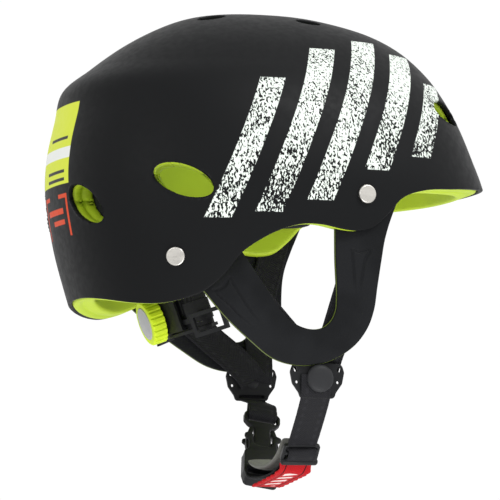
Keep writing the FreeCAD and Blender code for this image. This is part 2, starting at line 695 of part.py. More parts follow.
plate = sector(plate_in, plate_out, -cradle_angle, cradle_angle, -cradle_half, cradle_half)
flange = sector(plate_in - 3, plate_out + 2, -cradle_angle, cradle_angle, -cradle_half - 2, -cradle_half)
openings = []
for sign in (-1, 1):
    for number in range(4):
        angle = sign * (20.5 + 3.2 * number)
        openings.append(sector(plate_in - 5, plate_out + 5, angle - 0.7, angle + 0.7, -2, 9.5))
    openings.append(sector(plate_in - 5, plate_out + 5, sign * 29 - 3, sign * 29 + 3, -9, -5.5))
cradle = plate.fuse(flange).cut(openings)
for sign in (-1, 1):
    lug = Part.makeBox(6, 4, 22, Vector(-72, 22, 11.4))
    eye = Part.makeCylinder(HANGER_PIN_RADIUS + 0.05, 8, Vector(local_pin.x, 20, local_pin.z),
                            Vector(0, 1, 0))
    cradle = cradle.fuse(to_side(lug.cut(eye), sign))
feature("rear_cradle", cradle.removeSplitter(), cradle_place)

pins = []
for sign in (-1, 1):
    pin = Part.makeCylinder(HANGER_PIN_RADIUS, 7.9, Vector(HANGER_PIN.x, 21.5, HANGER_PIN.z),
                            Vector(0, 1, 0))
    pins.append(to_side(pin, sign))
feature("hanger_pins", Part.makeCompound(pins))

housing_angle = v("housing_half_angle")
housing_half = v("housing_height") / 2
housing = sector(plate_out, band_out + 2.2, -housing_angle, housing_angle, -housing_half, housing_half)
hollow = sector(plate_out - 1, band_out + 0.4, -housing_angle - 5, housing_angle + 5,
                -housing_half + 2, housing_half - 2)
shaft_hole = Part.makeCylinder(v("shaft_radius") + 0.1, 20, Vector(-85, 0, 0), Vector(1, 0, 0))
feature("ratchet_housing", housing.cut(hollow).cut(shaft_hole), cradle_place)

RACK_IN, RACK_OUT = 4.9, 8.2
ARM_END = 40
GUIDE_HEIGHT = -10
TOOTH_STEP = 2.0
for side in (LEFT, RIGHT):
    side_name = "left" if side == LEFT else "right"
    rack = sector(band_in, band_out, -12, 24, RACK_IN, RACK_OUT)
    for number in range(12):
        angle = -10 + number * TOOTH_STEP
        gap = sector(band_in - 1, band_out + 1, angle - 0.45, angle + 0.45, RACK_IN - 1, RACK_IN + 0.9)
        rack = rack.cut(gap)
    arm = sector(band_in, band_out, 24, ARM_END, -4.6, RACK_OUT)
    band = rack.fuse(arm).removeSplitter()
    if side == RIGHT:
        band.rotate(Vector(0, 0, 0), Vector(1, 0, 0), 180)
    feature(f"rack_band_{side_name}", band, cradle_place)
    ring = Part.makeBox(2.4, 25, 15, Vector(-1.2, -12.5, -7.5))
    ring = ring.cut(Part.makeBox(6, 20, 10, Vector(-3, -10, -5)))
    turn = Rotation(Vector(0, 0, 1), -side * ARM_END)
    middle = turn.multVec(Vector(-(band_out + 5.5), 0, 0)) + Vector(0, 0, GUIDE_HEIGHT)
    link = Part.makeBox(5.2, 6, 2.4, Vector(0.6, -side * 8 - 3, 5))
    ring = ring.fuse(link)
    ring.Placement = Placement(middle, turn)
    feature(f"strap_guide_{side_name}", ring, cradle_place)

DIAL_X = -(band_out + 2.2 + 0.4)
dial_place = cradle_place.multiply(Placement(Vector(DIAL_X, 0, 0), Rotation(Vector(0, 1, 0), -90)))
dial = body("dial_knob", dial_place)
rim = sketch_on(dial, "dial_rim", "XY_Plane")
add_circle(rim, "sizes.dial_diameter / 2")
knob = pad(dial, "dial_block", rim, "sizes.dial_depth")
round_edges(dial, "dial_rounding", knob, 1.6, lambda edge: edge.CenterOfMass.z > 5)
groove = sketch_on(dial, "dial_groove", "XY_Plane")
add_circle(groove, "sizes.dial_grip_groove", "sizes.dial_diameter / 2 + 0.35")
notch = pocket(dial, "dial_notch", groove, "sizes.dial_depth * 3")
grips = dial.newObject("PartDesign::PolarPattern", "dial_grips")
grips.Originals = [notch]
axis = next(item for item in dial.Origin.OriginFeatures if item.Role == "Z_Axis")
grips.Axis = (axis, [""])
grips.Angle = 360
grips.setExpression("Occurrences", "sizes.dial_grips")
dial.Tip = grips
doc.recompute()
seat = sketch_on(dial, "dial_seat", "XY_Plane", "sizes.dial_depth")
add_circle(seat, "sizes.dial_cap_diameter / 2 + 0.1")
pocket(dial, "dial_recess", seat, "2.4")

cap = body("dial_cap", dial_place.multiply(Placement(Vector(0, 0, v("dial_depth") - 1.2), Rotation())))
face = sketch_on(cap, "dial_cap_face", "XY_Plane")
add_circle(face, "sizes.dial_cap_diameter / 2")
disc = pad(cap, "dial_cap_disc", face, "1.6")
round_edges(cap, "dial_cap_rounding", disc, 0.6, lambda edge: edge.CenterOfMass.z > 1)

pinion_place = cradle_place.multiply(Placement(Vector(-band_in, 0, 0), Rotation(Vector(0, 1, 0), -90)))
wheel = primitive("Cylinder", "pinion_wheel", {"Radius": "sizes.pinion_radius",
                                               "Height": "sizes.band_wall"})
shaft = primitive("Cylinder", "pinion_shaft", {"Radius": "sizes.shaft_radius",
                                               "Height": "sizes.band_wall + 2.6"})
combine("dial_pinion", "MultiFuse", [wheel, shaft], pinion_place)

# ---------------------------------------------------------------- checks and export
doc.recompute()
failed = [item.Name for item in doc.Objects if "Invalid" in item.State or "Error" in item.State]
if failed:
    raise RuntimeError(f"failed objects: {failed}")
for name, piece in parts.items():
    shape = piece.Shape
    if shape.isNull() or not shape.isValid() or not shape.Solids:
        raise RuntimeError(f"bad shape: {name}")
os.makedirs("parts", exist_ok=True)
for name, piece in parts.items():
    piece.Shape.exportStep(f"parts/{name}.step")
print(len(parts), "sub-parts written")
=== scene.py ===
import math

import bmesh
import bpy
import numpy as np
from mathutils import Matrix, Vector


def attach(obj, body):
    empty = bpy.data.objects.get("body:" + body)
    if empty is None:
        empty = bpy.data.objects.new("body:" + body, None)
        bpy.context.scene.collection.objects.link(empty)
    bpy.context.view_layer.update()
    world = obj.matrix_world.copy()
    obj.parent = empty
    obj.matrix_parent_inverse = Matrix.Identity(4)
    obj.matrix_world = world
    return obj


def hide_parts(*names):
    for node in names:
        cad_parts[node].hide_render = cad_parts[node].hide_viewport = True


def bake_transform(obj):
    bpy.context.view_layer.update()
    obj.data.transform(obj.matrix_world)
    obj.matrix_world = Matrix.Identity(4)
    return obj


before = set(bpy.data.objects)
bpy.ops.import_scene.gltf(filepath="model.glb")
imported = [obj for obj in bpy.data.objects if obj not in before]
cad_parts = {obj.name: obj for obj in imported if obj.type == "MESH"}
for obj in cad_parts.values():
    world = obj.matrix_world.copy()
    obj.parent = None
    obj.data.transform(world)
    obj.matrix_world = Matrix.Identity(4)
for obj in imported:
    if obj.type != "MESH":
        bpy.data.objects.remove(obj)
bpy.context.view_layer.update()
MM = 0.001
LEFT, RIGHT = 1, -1
SIDE_NAMES = {LEFT: "left", RIGHT: "right"}

# ---- the helmet's driving shapes, in millimetres
# Dome levels, bottom to top: height, front reach, rear reach, half width.
DOME_LEVELS = [
    (-18, 151, -116, 92),
    (12, 150, -125.5, 98),
    (42, 148, -133.5, 103),
    (76, 141, -138.5, 105.5),
    (98, 132.5, -137.5, 103.5),
    (120, 123, -133, 98.5),
    (138, 113, -129, 90),
    (152, 103, -112.5, 79),
    (166, 88, -93.5, 65),
    (176.5, 69, -75, 50),
    (184.5, 41, -55, 33),
    (188, 20, -36, 19),
]
CROWN_X, CROWN_Z = -8, 189.5
DOME_POWER = 2.35
HALF_LENGTH, HALF_WIDTH = 141, 105.5

# Lower edge of the shell seen from the side, rear to front: x, z.
RIM = [
    (-160, 22), (-128, 8.5), (-117, 4.2), (-104, 0.8), (-90, 0), (-78, 2.5), (-67, 7), (-57, 16),
    (-46.8, 29.7), (-34, 38.8), (-22, 44.6), (-9, 48), (4, 48), (17.9, 45.6), (27, 45),
    (36, 47), (46, 55), (57.7, 66.7), (75, 72.5), (98, 75.2), (122, 78), (170, 84),
]

# Ventilation holes of the right side: centre, outward direction, long direction, half length, half width.
VENTS = [
    ((-82, -92.5, 73), (-0.42, -0.9, 0.1), (33, -15, -13), 19.5, 9.2),
    ((-129.7, -43, 61.5), (-0.87, -0.48, 0.05), (13, -27, -19), 18, 9),
    ((101, -56, 124), (0.68, -0.5, 0.55), (0.6, 0.78, -0.1), 18, 8.5),
    ((-44, -28, 183), (-0.2, -0.25, 0.95), (1, 0, 0.2), 9, 5.5),
    ((17, -37, 181), (0.1, -0.33, 0.93), (1, 0, -0.1), 8, 5.5),
]

# Ear guard outline of the right side, seen from the side: x, z.
GUARD_OUTER = [
    (56, 66), (48.5, 47), (44.9, 34.7), (41.6, 12), (39.8, -3.5), (36, -15), (28.1, -25.7),
    (13, -35), (-4.6, -37.6), (-20.6, -34), (-36.5, -22.5), (-52.8, -8), (-65.9, 6.8), (-78, 20),
]
GUARD_INNER = [
    (14, 66), (14.4, 45.5), (14.9, 26.8), (16.4, 3.3), (15.8, -5), (12.5, -11.5), (7, -15.2),
    (0, -15.6), (-8, -13), (-14.5, -8.9), (-28.5, 10), (-43, 30.2), (-55, 46),
]
FRONT_HINGE = (28, 43.5)
LEFT_FORWARD = 10
LEFT_LIFT = 6
WEB_WIDTH = 19
WEB_WALL = 1.5


def settle(x, z, side):
    """The soft left side hangs a little further forward and higher than the right side."""
    if side == RIGHT:
        return x, z
    share = max(0.0, (20 - z) / 60)
    return x + LEFT_FORWARD * share, z + LEFT_LIFT * share


def guard_y(x, z):
    """Distance of the ear guard's middle layer from the symmetry plane."""
    return 89.5 + 0.105 * x + 0.085 * z - 3 * ((z - 20) / 60) ** 2


# ---- curves and meshes
def reach_along(points):
    """Distance walked along a row of points."""
    return np.concatenate([[0], np.cumsum(np.linalg.norm(np.diff(points, axis=0), axis=1))])


def unit(rows):
    """Each row scaled to length 1."""
    return rows / np.maximum(np.linalg.norm(rows, axis=1), 1e-9)[:, None]


def smooth_curve(points, count):
    """`count` points evenly spaced on the Catmull-Rom curve through `points` (centripetal)."""
    p = np.array(points, float)
    p = np.vstack([2 * p[0] - p[1], p, 2 * p[-1] - p[-2]])
    knots = np.concatenate([[0], np.cumsum(np.sqrt(np.linalg.norm(np.diff(p, axis=0), axis=1)))])
    dense = []
    for i in range(1, len(p) - 2):
        t0, t1, t2, t3 = knots[i - 1:i + 3]
        t = np.linspace(t1, t2, 24, endpoint=i == len(p) - 3)[:, None]
        a1 = (t1 - t) / (t1 - t0) * p[i - 1] + (t - t0) / (t1 - t0) * p[i]
        a2 = (t2 - t) / (t2 - t1) * p[i] + (t - t1) / (t2 - t1) * p[i + 1]
        a3 = (t3 - t) / (t3 - t2) * p[i + 1] + (t - t2) / (t3 - t2) * p[i + 2]
        b1 = (t2 - t) / (t2 - t0) * a1 + (t - t0) / (t2 - t0) * a2
        b2 = (t3 - t) / (t3 - t1) * a2 + (t - t1) / (t3 - t1) * a3
        dense.append((t2 - t) / (t2 - t1) * b1 + (t - t1) / (t2 - t1) * b2)
    dense = np.vstack(dense)
    reach = reach_along(dense)
    even = np.linspace(0, reach[-1], count)
    return np.stack([np.interp(even, reach, dense[:, k]) for k in range(dense.shape[1])], -1)


def linked(name, data):
    """Object with this data, in the scene."""
    obj = bpy.data.objects.new(name, data)
    bpy.context.scene.collection.objects.link(obj)
    return obj


def mesh_object(name, points, faces, smooth=True):
    """Object from points in millimetres in the row frame."""
    mesh = bpy.data.meshes.new(name)
    mesh.from_pydata([tuple(float(c) * MM for c in p) for p in points], [], [tuple(map(int, f)) for f in faces])
    mesh.validate()
    mesh.update()
    if smooth:
        mesh.shade_smooth()
    return linked(name, mesh)


def grid_faces(rows, columns, wrap_columns=False):
    """Faces between rows of points that follow one another."""
    faces = []
    for r in range(rows - 1):
        for c in range(columns if wrap_columns else columns - 1):
            a, b = r * columns + c, r * columns + (c + 1) % columns
            up = (r + 1) * columns
            faces.append((a, b, up + (c + 1) % columns, up + c))
    return faces


def tube_faces(count, size):
    """Faces of a run of equal sections, closed at both ends."""
    ends = [tuple(range(size)), tuple(range((count - 1) * size, count * size))[::-1]]
    return grid_faces(count, size, wrap_columns=True) + ends


def face_outwards(mesh, merge=0.0, corners=None):
    """Merges corners closer than `merge` metres, all of them or the listed ones, and turns faces outwards."""
    work = bmesh.new()
    work.from_mesh(mesh)
    if merge:
        work.verts.ensure_lookup_table()
        chosen = work.verts if corners is None else [work.verts[i] for i in corners]
        bmesh.ops.remove_doubles(work, verts=chosen, dist=merge)
    bmesh.ops.recalc_face_normals(work, faces=work.faces)
    work.to_mesh(mesh)
    work.free()


def show_edges(mesh, angle):
    """Smooth shading with sharp edges above an angle in degrees."""
    mesh.shade_smooth()
    mesh.set_sharp_from_angle(angle=math.radians(angle))


def subdivided(obj):
    """Smooths the mesh by one subdivision and leaves no modifier on it."""
    step = obj.modifiers.new("subsurf", "SUBSURF")
    step.levels = step.render_levels = 1
    graph = bpy.context.evaluated_depsgraph_get()
    final = bpy.data.meshes.new_from_object(obj.evaluated_get(graph), preserve_all_data_layers=True,
                                            depsgraph=graph)
    obj.modifiers.clear()
    obj.data = final


PLASTIC_EDGE = 35


def place_matrix(base, up, across):
    """Local Z along `up`, local X along `across` as far as it is square to `up`; base in millimetres."""
    z = Vector(up).normalized()
    x = Vector(across)
    x = (x - z * x.dot(z)).normalized()
    y = z.cross(x)
    turn = Matrix((x, y, z)).transposed().to_4x4()
    return Matrix.Translation(Vector(base) * MM) @ turn


def rounded(points, radius, steps=6):
    """Polygon with each corner rounded; a corner may give its own radius as a third number."""
    result = []
    count = len(points)
    for i in range(count):
        here = Vector(points[i][:2])
        before, after = Vector(points[i - 1][:2]), Vector(points[(i + 1) % count][:2])
        r = points[i][2] if len(points[i]) > 2 else radius
        u, w = (before - here).normalized(), (after - here).normalized()
        half = math.acos(max(-1, min(1, u.dot(w)))) / 2
        reach = min(r / math.tan(half), (before - here).length * 0.49, (after - here).length * 0.49)
        r = reach * math.tan(half)
        centre = here + (u + w).normalized() * (r / math.sin(half))
        first, last = here + u * reach - centre, here + w * reach - centre
        sweep = first.angle_signed(last)
        for k in range(steps + 1):
            turn = Matrix.Rotation(-sweep * k / steps, 2)
            result.append(tuple(centre + turn @ first))
    return result


def circle(x, y, radius, steps=40):
    return [(x + radius * math.cos(2 * math.pi * k / steps), y + radius * math.sin(2 * math.pi * k / steps))
            for k in range(steps)]


def plate(name, outlines, thickness, matrix, bevel=0.4):
    """Flat bevelled plate with holes: outlines in millimetres, the first one outside, centred on local z 0."""
    curve = bpy.data.curves.new(name, "CURVE")
    curve.dimensions = "2D"
    curve.fill_mode = "BOTH"
    curve.extrude = (thickness / 2 - bevel) * MM
    curve.bevel_depth = bevel * MM
    curve.bevel_resolution = 3
    curve.offset = -bevel * MM
    for outline in outlines:
        spline = curve.splines.new("POLY")
        spline.points.add(len(outline) - 1)
        for point, (x, y) in zip(spline.points, outline):
            point.co = (x * MM, y * MM, 0, 1)
        spline.use_cyclic_u = True
    carrier = linked(name + "_outline", curve)
    graph = bpy.context.evaluated_depsgraph_get()
    mesh = bpy.data.meshes.new_from_object(carrier.evaluated_get(graph))
    bpy.data.objects.remove(carrier)
    bpy.data.curves.remove(curve)
    mesh.transform(matrix)
    face_outwards(mesh, merge=0.01 * MM)
    obj = linked(name, mesh)
    show_edges(mesh, PLASTIC_EDGE)
    return obj


def joined(name, pieces):
    """One object from several meshes."""
    work = bmesh.new()
    for piece in pieces:
        start = len(work.verts)
        work.from_mesh(piece.data)
        work.verts.ensure_lookup_table()
        bmesh.ops.transform(work, matrix=piece.matrix_world, verts=work.verts[start:])
    mesh = bpy.data.meshes.new(name)
    work.to_mesh(mesh)
    work.free()
    for piece in pieces:
        bpy.data.objects.remove(piece)
    obj = linked(name, mesh)
    show_edges(mesh, PLASTIC_EDGE)
    return obj


# ---- materials
class Finish:
    """A material whose nodes are added by short calls."""

    def __init__(self, name, color, roughness, **sockets):
        self.material = bpy.data.materials.new(name)
        self.material.use_nodes = True
        self.nodes = self.material.node_tree.nodes
        self.links = self.material.node_tree.links
        self.shader = self.nodes["Principled BSDF"]
        self.shader.inputs["Base Color"].default_value = (*color, 1)
        self.shader.inputs["Roughness"].default_value = roughness
        for socket, value in sockets.items():
            self.shader.inputs[socket.replace("_", " ")].default_value = value
        self.material.diffuse_color = (*color, 1)
        self.bumps = None
        self.object_space = self.node("ShaderNodeTexCoord").outputs["Object"]

    def node(self, kind, **settings):
        made = self.nodes.new(kind)
        for key, value in settings.items():
            setattr(made, key, value)
        return made

    def feed(self, socket, value):
        if hasattr(value, "links"):
            self.links.new(value, socket)
        else:
            socket.default_value = value

    def math(self, operation, a, b=0.0, c=None):
        made = self.node("ShaderNodeMath", operation=operation)
        self.feed(made.inputs[0], a)
        self.feed(made.inputs[1], b)
        if c is not None:
            self.feed(made.inputs[2], c)
        return made.outputs[0]

    def scaled(self, x, y, z):
        made = self.node("ShaderNodeVectorMath", operation="MULTIPLY")
        self.feed(made.inputs[0], self.object_space)
        made.inputs[1].default_value = (x, y, z)
        return made.outputs[0]

    def noise(self, scale, detail=3.0, rough=0.55, stretch=(1, 1, 1)):
        made = self.node("ShaderNodeTexNoise")
        made.inputs["Scale"].default_value = scale
        made.inputs["Detail"].default_value = detail
        made.inputs["Roughness"].default_value = rough
        self.feed(made.inputs["Vector"], self.scaled(*stretch))
        return made.outputs["Fac"]

    def cells(self, scale):
        made = self.node("ShaderNodeTexVoronoi", feature="F1")
        made.inputs["Scale"].default_value = scale
        self.feed(made.inputs["Vector"], self.scaled(1, 1, 1))
        return made.outputs["Distance"]

    def ramp(self, value, low, high, to_low=0.0, to_high=1.0):
        made = self.node("ShaderNodeMapRange", interpolation_type="SMOOTHSTEP")
        self.feed(made.inputs["Value"], value)
        for socket, number in (("From Min", low), ("From Max", high), ("To Min", to_low), ("To Max", to_high)):
            made.inputs[socket].default_value = number
        return made.outputs[0]

    def mix(self, share, a, b):
        made = self.node("ShaderNodeMix", data_type="RGBA")
        self.feed(made.inputs[0], share)
        self.feed(made.inputs[6], a if hasattr(a, "links") else (*a, 1))
        self.feed(made.inputs[7], b if hasattr(b, "links") else (*b, 1))
        return made.outputs[2]

    def color(self, value):
        self.links.new(value, self.shader.inputs["Base Color"])

    def rough(self, value):
        self.links.new(value, self.shader.inputs["Roughness"])

    def bump(self, value, height, strength=1.0):
        made = self.node("ShaderNodeBump")
        made.inputs["Strength"].default_value = strength
        made.inputs["Distance"].default_value = height * MM
        self.feed(made.inputs["Height"], value)
        if self.bumps is not None:
            self.links.new(self.bumps, made.inputs["Normal"])
        self.bumps = made.outputs["Normal"]
        self.links.new(self.bumps, self.shader.inputs["Normal"])

    def axes(self, source=None):
        made = self.node("ShaderNodeSeparateXYZ")
        self.feed(made.inputs[0], source or self.object_space)
        return made.outputs

    def strap_space(self):
        """Across and along a strap, in metres, as stored on its mesh."""
        made = self.node("ShaderNodeAttribute", attribute_name="weave")
        return made.outputs["Vector"]

    def times(self, *values):
        product = values[0]
        for value in values[1:]:
            product = self.math("MULTIPLY", product, value)
        return product

    def window(self, value, low, high, blur):
        """1 from low to high and 0 outside, over edges of `blur` to each side."""
        return self.times(self.ramp(value, low - blur, low + blur), self.ramp(value, high + blur, high - blur))

    def wave_rows(self, pitch, axis):
        """Even rows along one axis of the row frame, 0 to 1."""
        wave = self.math("SINE", self.times(self.axes()[axis], 2 * math.pi / (pitch * MM)))
        return self.math("MULTIPLY_ADD", wave, 0.5, 0.5)


BLACK = (0.022, 0.024, 0.027)
LIME = (0.47, 0.62, 0.018)
PRINT = (0.72, 0.78, 0.72)


def shell_finish():
    """Matte black with a fine texture and worn, printed slanted bars."""
    f = Finish("shell_matte", BLACK, 0.5, Specular_IOR_Level=0.12)
    x, y, z = f.axes()
    slanted = f.math("SUBTRACT", x, f.times(f.math("SUBTRACT", z, BAR_FOOT * MM), BAR_LEAN))
    bars = None
    for place, low, high, half in BARS:
        across = f.math("ABSOLUTE", f.math("SUBTRACT", slanted, place * MM))
        edge = f.ramp(across, (half + 0.25) * MM, (half - 0.25) * MM)
        bar = f.times(edge, f.window(z, low * MM, high * MM, 0.3 * MM))
        bars = bar if bars is None else f.math("MAXIMUM", bars, bar)
    bars = f.times(bars, f.ramp(f.math("ABSOLUTE", y), 0.018, 0.022))
    speckle = f.noise(760, 2.0, 0.6, stretch=(1.15, 1, 0.62))
    patches = f.noise(34, 3.0, 0.6)
    wear = f.math("ADD", speckle, f.times(f.math("SUBTRACT", patches, 0.5), 0.3))
    wear = f.math("ADD", wear, f.ramp(z, 0.03, 0.17, -0.035, 0.075))
    printed = f.times(bars, f.ramp(wear, 0.485, 0.515))
    tone = f.noise(6, 2.0)
    black = f.mix(tone, (0.0034, 0.0037, 0.0041), (0.005, 0.0055, 0.0062))
    black, label = rear_prints(f, black)
    f.color(f.mix(printed, black, PRINT))
    dull = f.ramp(f.noise(240, 2.0), 0.3, 0.7, 0.46, 0.54)
    f.rough(f.math("SUBTRACT", dull, f.times(printed, 0.16)))
    f.bump(f.noise(1500, 2.0), 0.03, 0.5)
    f.bump(f.math("MAXIMUM", printed, label), 0.05, 0.6)
    return f.material


def foam_finish(name="foam_cells", color=LIME, shade=(0.38, 0.52, 0.018)):
    """Moulded foam: small closed cells under a thin skin."""
    f = Finish(name, color, 0.62)
    cells = f.cells(420)
    tone = f.ramp(f.noise(26, 3.0), 0.3, 0.75)
    f.color(f.mix(f.times(tone, 0.5), color, shade))
    f.bump(cells, 0.12, 0.55)
    f.bump(f.noise(90, 3.0), 0.15, 0.35)
    return f.material


def guard_finish():
    """Pebbled soft skin of the ear guards."""
    f = Finish("guard_pebble", BLACK, 0.58, Specular_IOR_Level=0.1)
    pebbles = f.cells(1150)
    patches = f.ramp(f.noise(30, 2.0), 0.35, 0.65)
    f.color(f.mix(patches, (0.0055, 0.006, 0.0068), (0.009, 0.0096, 0.0108)))
    f.rough(f.ramp(pebbles, 0.1, 0.7, 0.5, 0.66))
    f.bump(pebbles, 0.12, 0.55)
    f.bump(f.noise(300, 3.0), 0.06, 0.4)
    return f.material


def knit_finish(name, dark, light, pitch=1.1):
    """Brushed knit over foam, for pads and linings."""
    f = Finish(name, dark, 0.9, Sheen_Weight=0.03, Sheen_Roughness=0.5, Specular_IOR_Level=0.12)
    loops = f.times(f.wave_rows(pitch, 0), f.wave_rows(pitch, 2))
    fuzz = f.noise(700, 3.0, 0.7)
    f.color(f.mix(f.times(f.math("ADD", loops, fuzz), 0.5), dark, light))
    f.bump(loops, 0.12, 0.6)
    f.bump(fuzz, 0.1, 0.5)
    return f.material


def webbing_finish(name, dark, light, mark):
    """Flat woven webbing: diagonal ribs, selvages, fine threads, and what `mark` prints or weaves on it."""
    f = Finish(name, dark, 0.72, Sheen_Weight=0.015, Sheen_Roughness=0.4, Specular_IOR_Level=0.09)
    across, along, _ = f.axes(f.strap_space())
    fold = f.math("ABSOLUTE", across)
    rib_pitch, thread_pitch = 1.5 * MM, 0.55 * MM
    chevron = f.math("ADD", along, f.times(fold, 0.9))
    ribs = f.math("SINE", f.times(chevron, 2 * math.pi / rib_pitch))
    threads = f.math("SINE", f.times(across, 2 * math.pi / thread_pitch))
    weave = f.math("MULTIPLY_ADD", f.math("ADD", ribs, f.times(threads, 0.5)), 0.33, 0.5)
    half = WEB_WIDTH / 2
    selvage = f.ramp(fold, (half - 1.9) * MM, (half - 1.5) * MM)
    groove = f.times(selvage, f.ramp(fold, (half - 1.1) * MM, (half - 1.5) * MM))
    fuzz = f.noise(900, 3.0, 0.7)
    base = f.mix(f.times(f.math("ADD", weave, fuzz), 0.5), dark, light)
    f.color(mark(f, base, across, along))
    f.bump(weave, 0.22, 0.75)
    f.bump(groove, 0.3, 0.5)
    f.bump(fuzz, 0.06, 0.4)
    return f.material


def plastic_finish(name, color, roughness):
    """Moulded plastic with a fine spark-eroded grain and slight tone changes."""
    f = Finish(name, color, roughness, Specular_IOR_Level=0.16)
    tone = f.ramp(f.noise(40, 2.0), 0.3, 0.7)
    lighter = tuple(min(1, c * 1.25 + 0.002) for c in color)
    f.color(f.mix(tone, color, lighter))
    f.rough(f.ramp(f.noise(300, 2.0), 0.3, 0.7, roughness - 0.05, roughness + 0.07))
    f.bump(f.noise(900, 2.0), 0.04, 0.5)
    return f.material


def metal_finish():
    """Lightly brushed nickel of the rivets."""
    f = Finish("rivet_nickel", (0.6, 0.58, 0.54), 0.32, Metallic=1.0)
    brushed = f.noise(500, 3.0, stretch=(0.08, 1, 1))
    f.rough(f.ramp(brushed, 0.3, 0.7, 0.24, 0.42))
    f.bump(brushed, 0.02, 0.4)
    return f.material


# ---- dome surface
def dome_profile(samples=900):
    """Height, front reach, rear reach and half width from the crown down to the lowest level."""
    rows = [(z, front - CROWN_X, CROWN_X - rear, half) for z, front, rear, half in DOME_LEVELS][::-1]
    beyond = [(z, -front, -rear, -half) for z, front, rear, half in rows[:2]][::-1]
    curve = smooth_curve(beyond + [(CROWN_Z, 0, 0, 0)] + rows, 4 * samples)
    crown = int(np.argmin(np.abs(curve[:, 1])))
    curve = curve[crown:]
    curve[0] = (CROWN_Z, 0, 0, 0)
    reach = reach_along(curve)
    even = np.linspace(0, reach[-1], samples)
    return np.stack([np.interp(even, reach, curve[:, k]) for k in range(4)], -1)


PROFILE = dome_profile()
PROFILE_STEPS = np.linspace(0, 1, len(PROFILE))
RIM_LINE = smooth_curve(RIM, 600)


def rim_height(x):
    return np.interp(x, RIM_LINE[:, 0], RIM_LINE[:, 1])


def signed_power(value, power):
    return np.sign(value) * np.abs(value) ** power


def inset_scale(inset):
    return np.array([1 - inset / HALF_LENGTH, 1 - inset / HALF_WIDTH, 1 - inset / CROWN_Z])


def dome_point(angle, level, inset=0.0):
    """Point of the dome moved inwards by `inset`; angle 0 is the front, level 0 the crown and 1 the bottom."""
    z, front, rear, half = (np.interp(level, PROFILE_STEPS, PROFILE[:, k]) for k in range(4))
    c, s = np.cos(angle), np.sin(angle)
    reach = np.where(c > 0, front, rear)
    x = CROWN_X + reach * signed_power(c, 2 / DOME_POWER)
    y = half * signed_power(s, 2 / DOME_POWER)
    return np.stack(np.broadcast_arrays(x, y, z), -1) * inset_scale(inset)


def section_at(z, inset):
    """Front reach, rear reach and half width of the dome at a height."""
    z = np.asarray(z, float) / inset_scale(inset)[2]
    return [np.interp(z, PROFILE[::-1, 0], PROFILE[::-1, k]) for k in (1, 2, 3)]


def dome_side(x, z, inset=0.0):
    """Half width of the dome above a side-view point."""
    front, rear, half = section_at(z, inset)
    away = np.asarray(x, float) / inset_scale(inset)[0] - CROWN_X
    share = np.clip(np.abs(away) / np.where(away > 0, front, rear), 0, 0.999)
    return half * (1 - share ** DOME_POWER) ** (1 / DOME_POWER) * inset_scale(inset)[1]


def dome_end(y, z, inset, facing):
    """X of the dome's front (facing 1) or rear (facing -1) surface at a point seen from that end."""
    front, rear, half = section_at(z, inset)
    share = np.clip(np.abs(np.asarray(y, float)) / inset_scale(inset)[1] / half, 0, 0.999)
    reach = front if facing > 0 else rear
    return (CROWN_X + facing * reach * (1 - share ** DOME_POWER) ** (1 / DOME_POWER)) * inset_scale(inset)[0]


def dome_top(x, y, inset):
    """Height of the dome's surface above a point seen from above."""
    scale = inset_scale(inset)
    away, out = np.asarray(x, float) / scale[0] - CROWN_X, np.abs(np.asarray(y, float)) / scale[1]
    reach = np.where(away[..., None] > 0, PROFILE[1:, 1], PROFILE[1:, 2])
    inside = (np.abs(away)[..., None] / reach) ** DOME_POWER + (out[..., None] / PROFILE[1:, 3]) ** DOME_POWER
    first = np.argmax(inside <= 1, axis=-1)
    return PROFILE[1:, 0][first] * scale[2]


# Share of the profile above which no rim is looked for, share inside the crown's cap, how deep a vent cuts
# in millimetres, and a value for points outside every vent.
RIM_SEARCH_FROM, CROWN_CAP, VENT_DEPTH, OUTSIDE = 0.2, 0.012, 30, 9.0


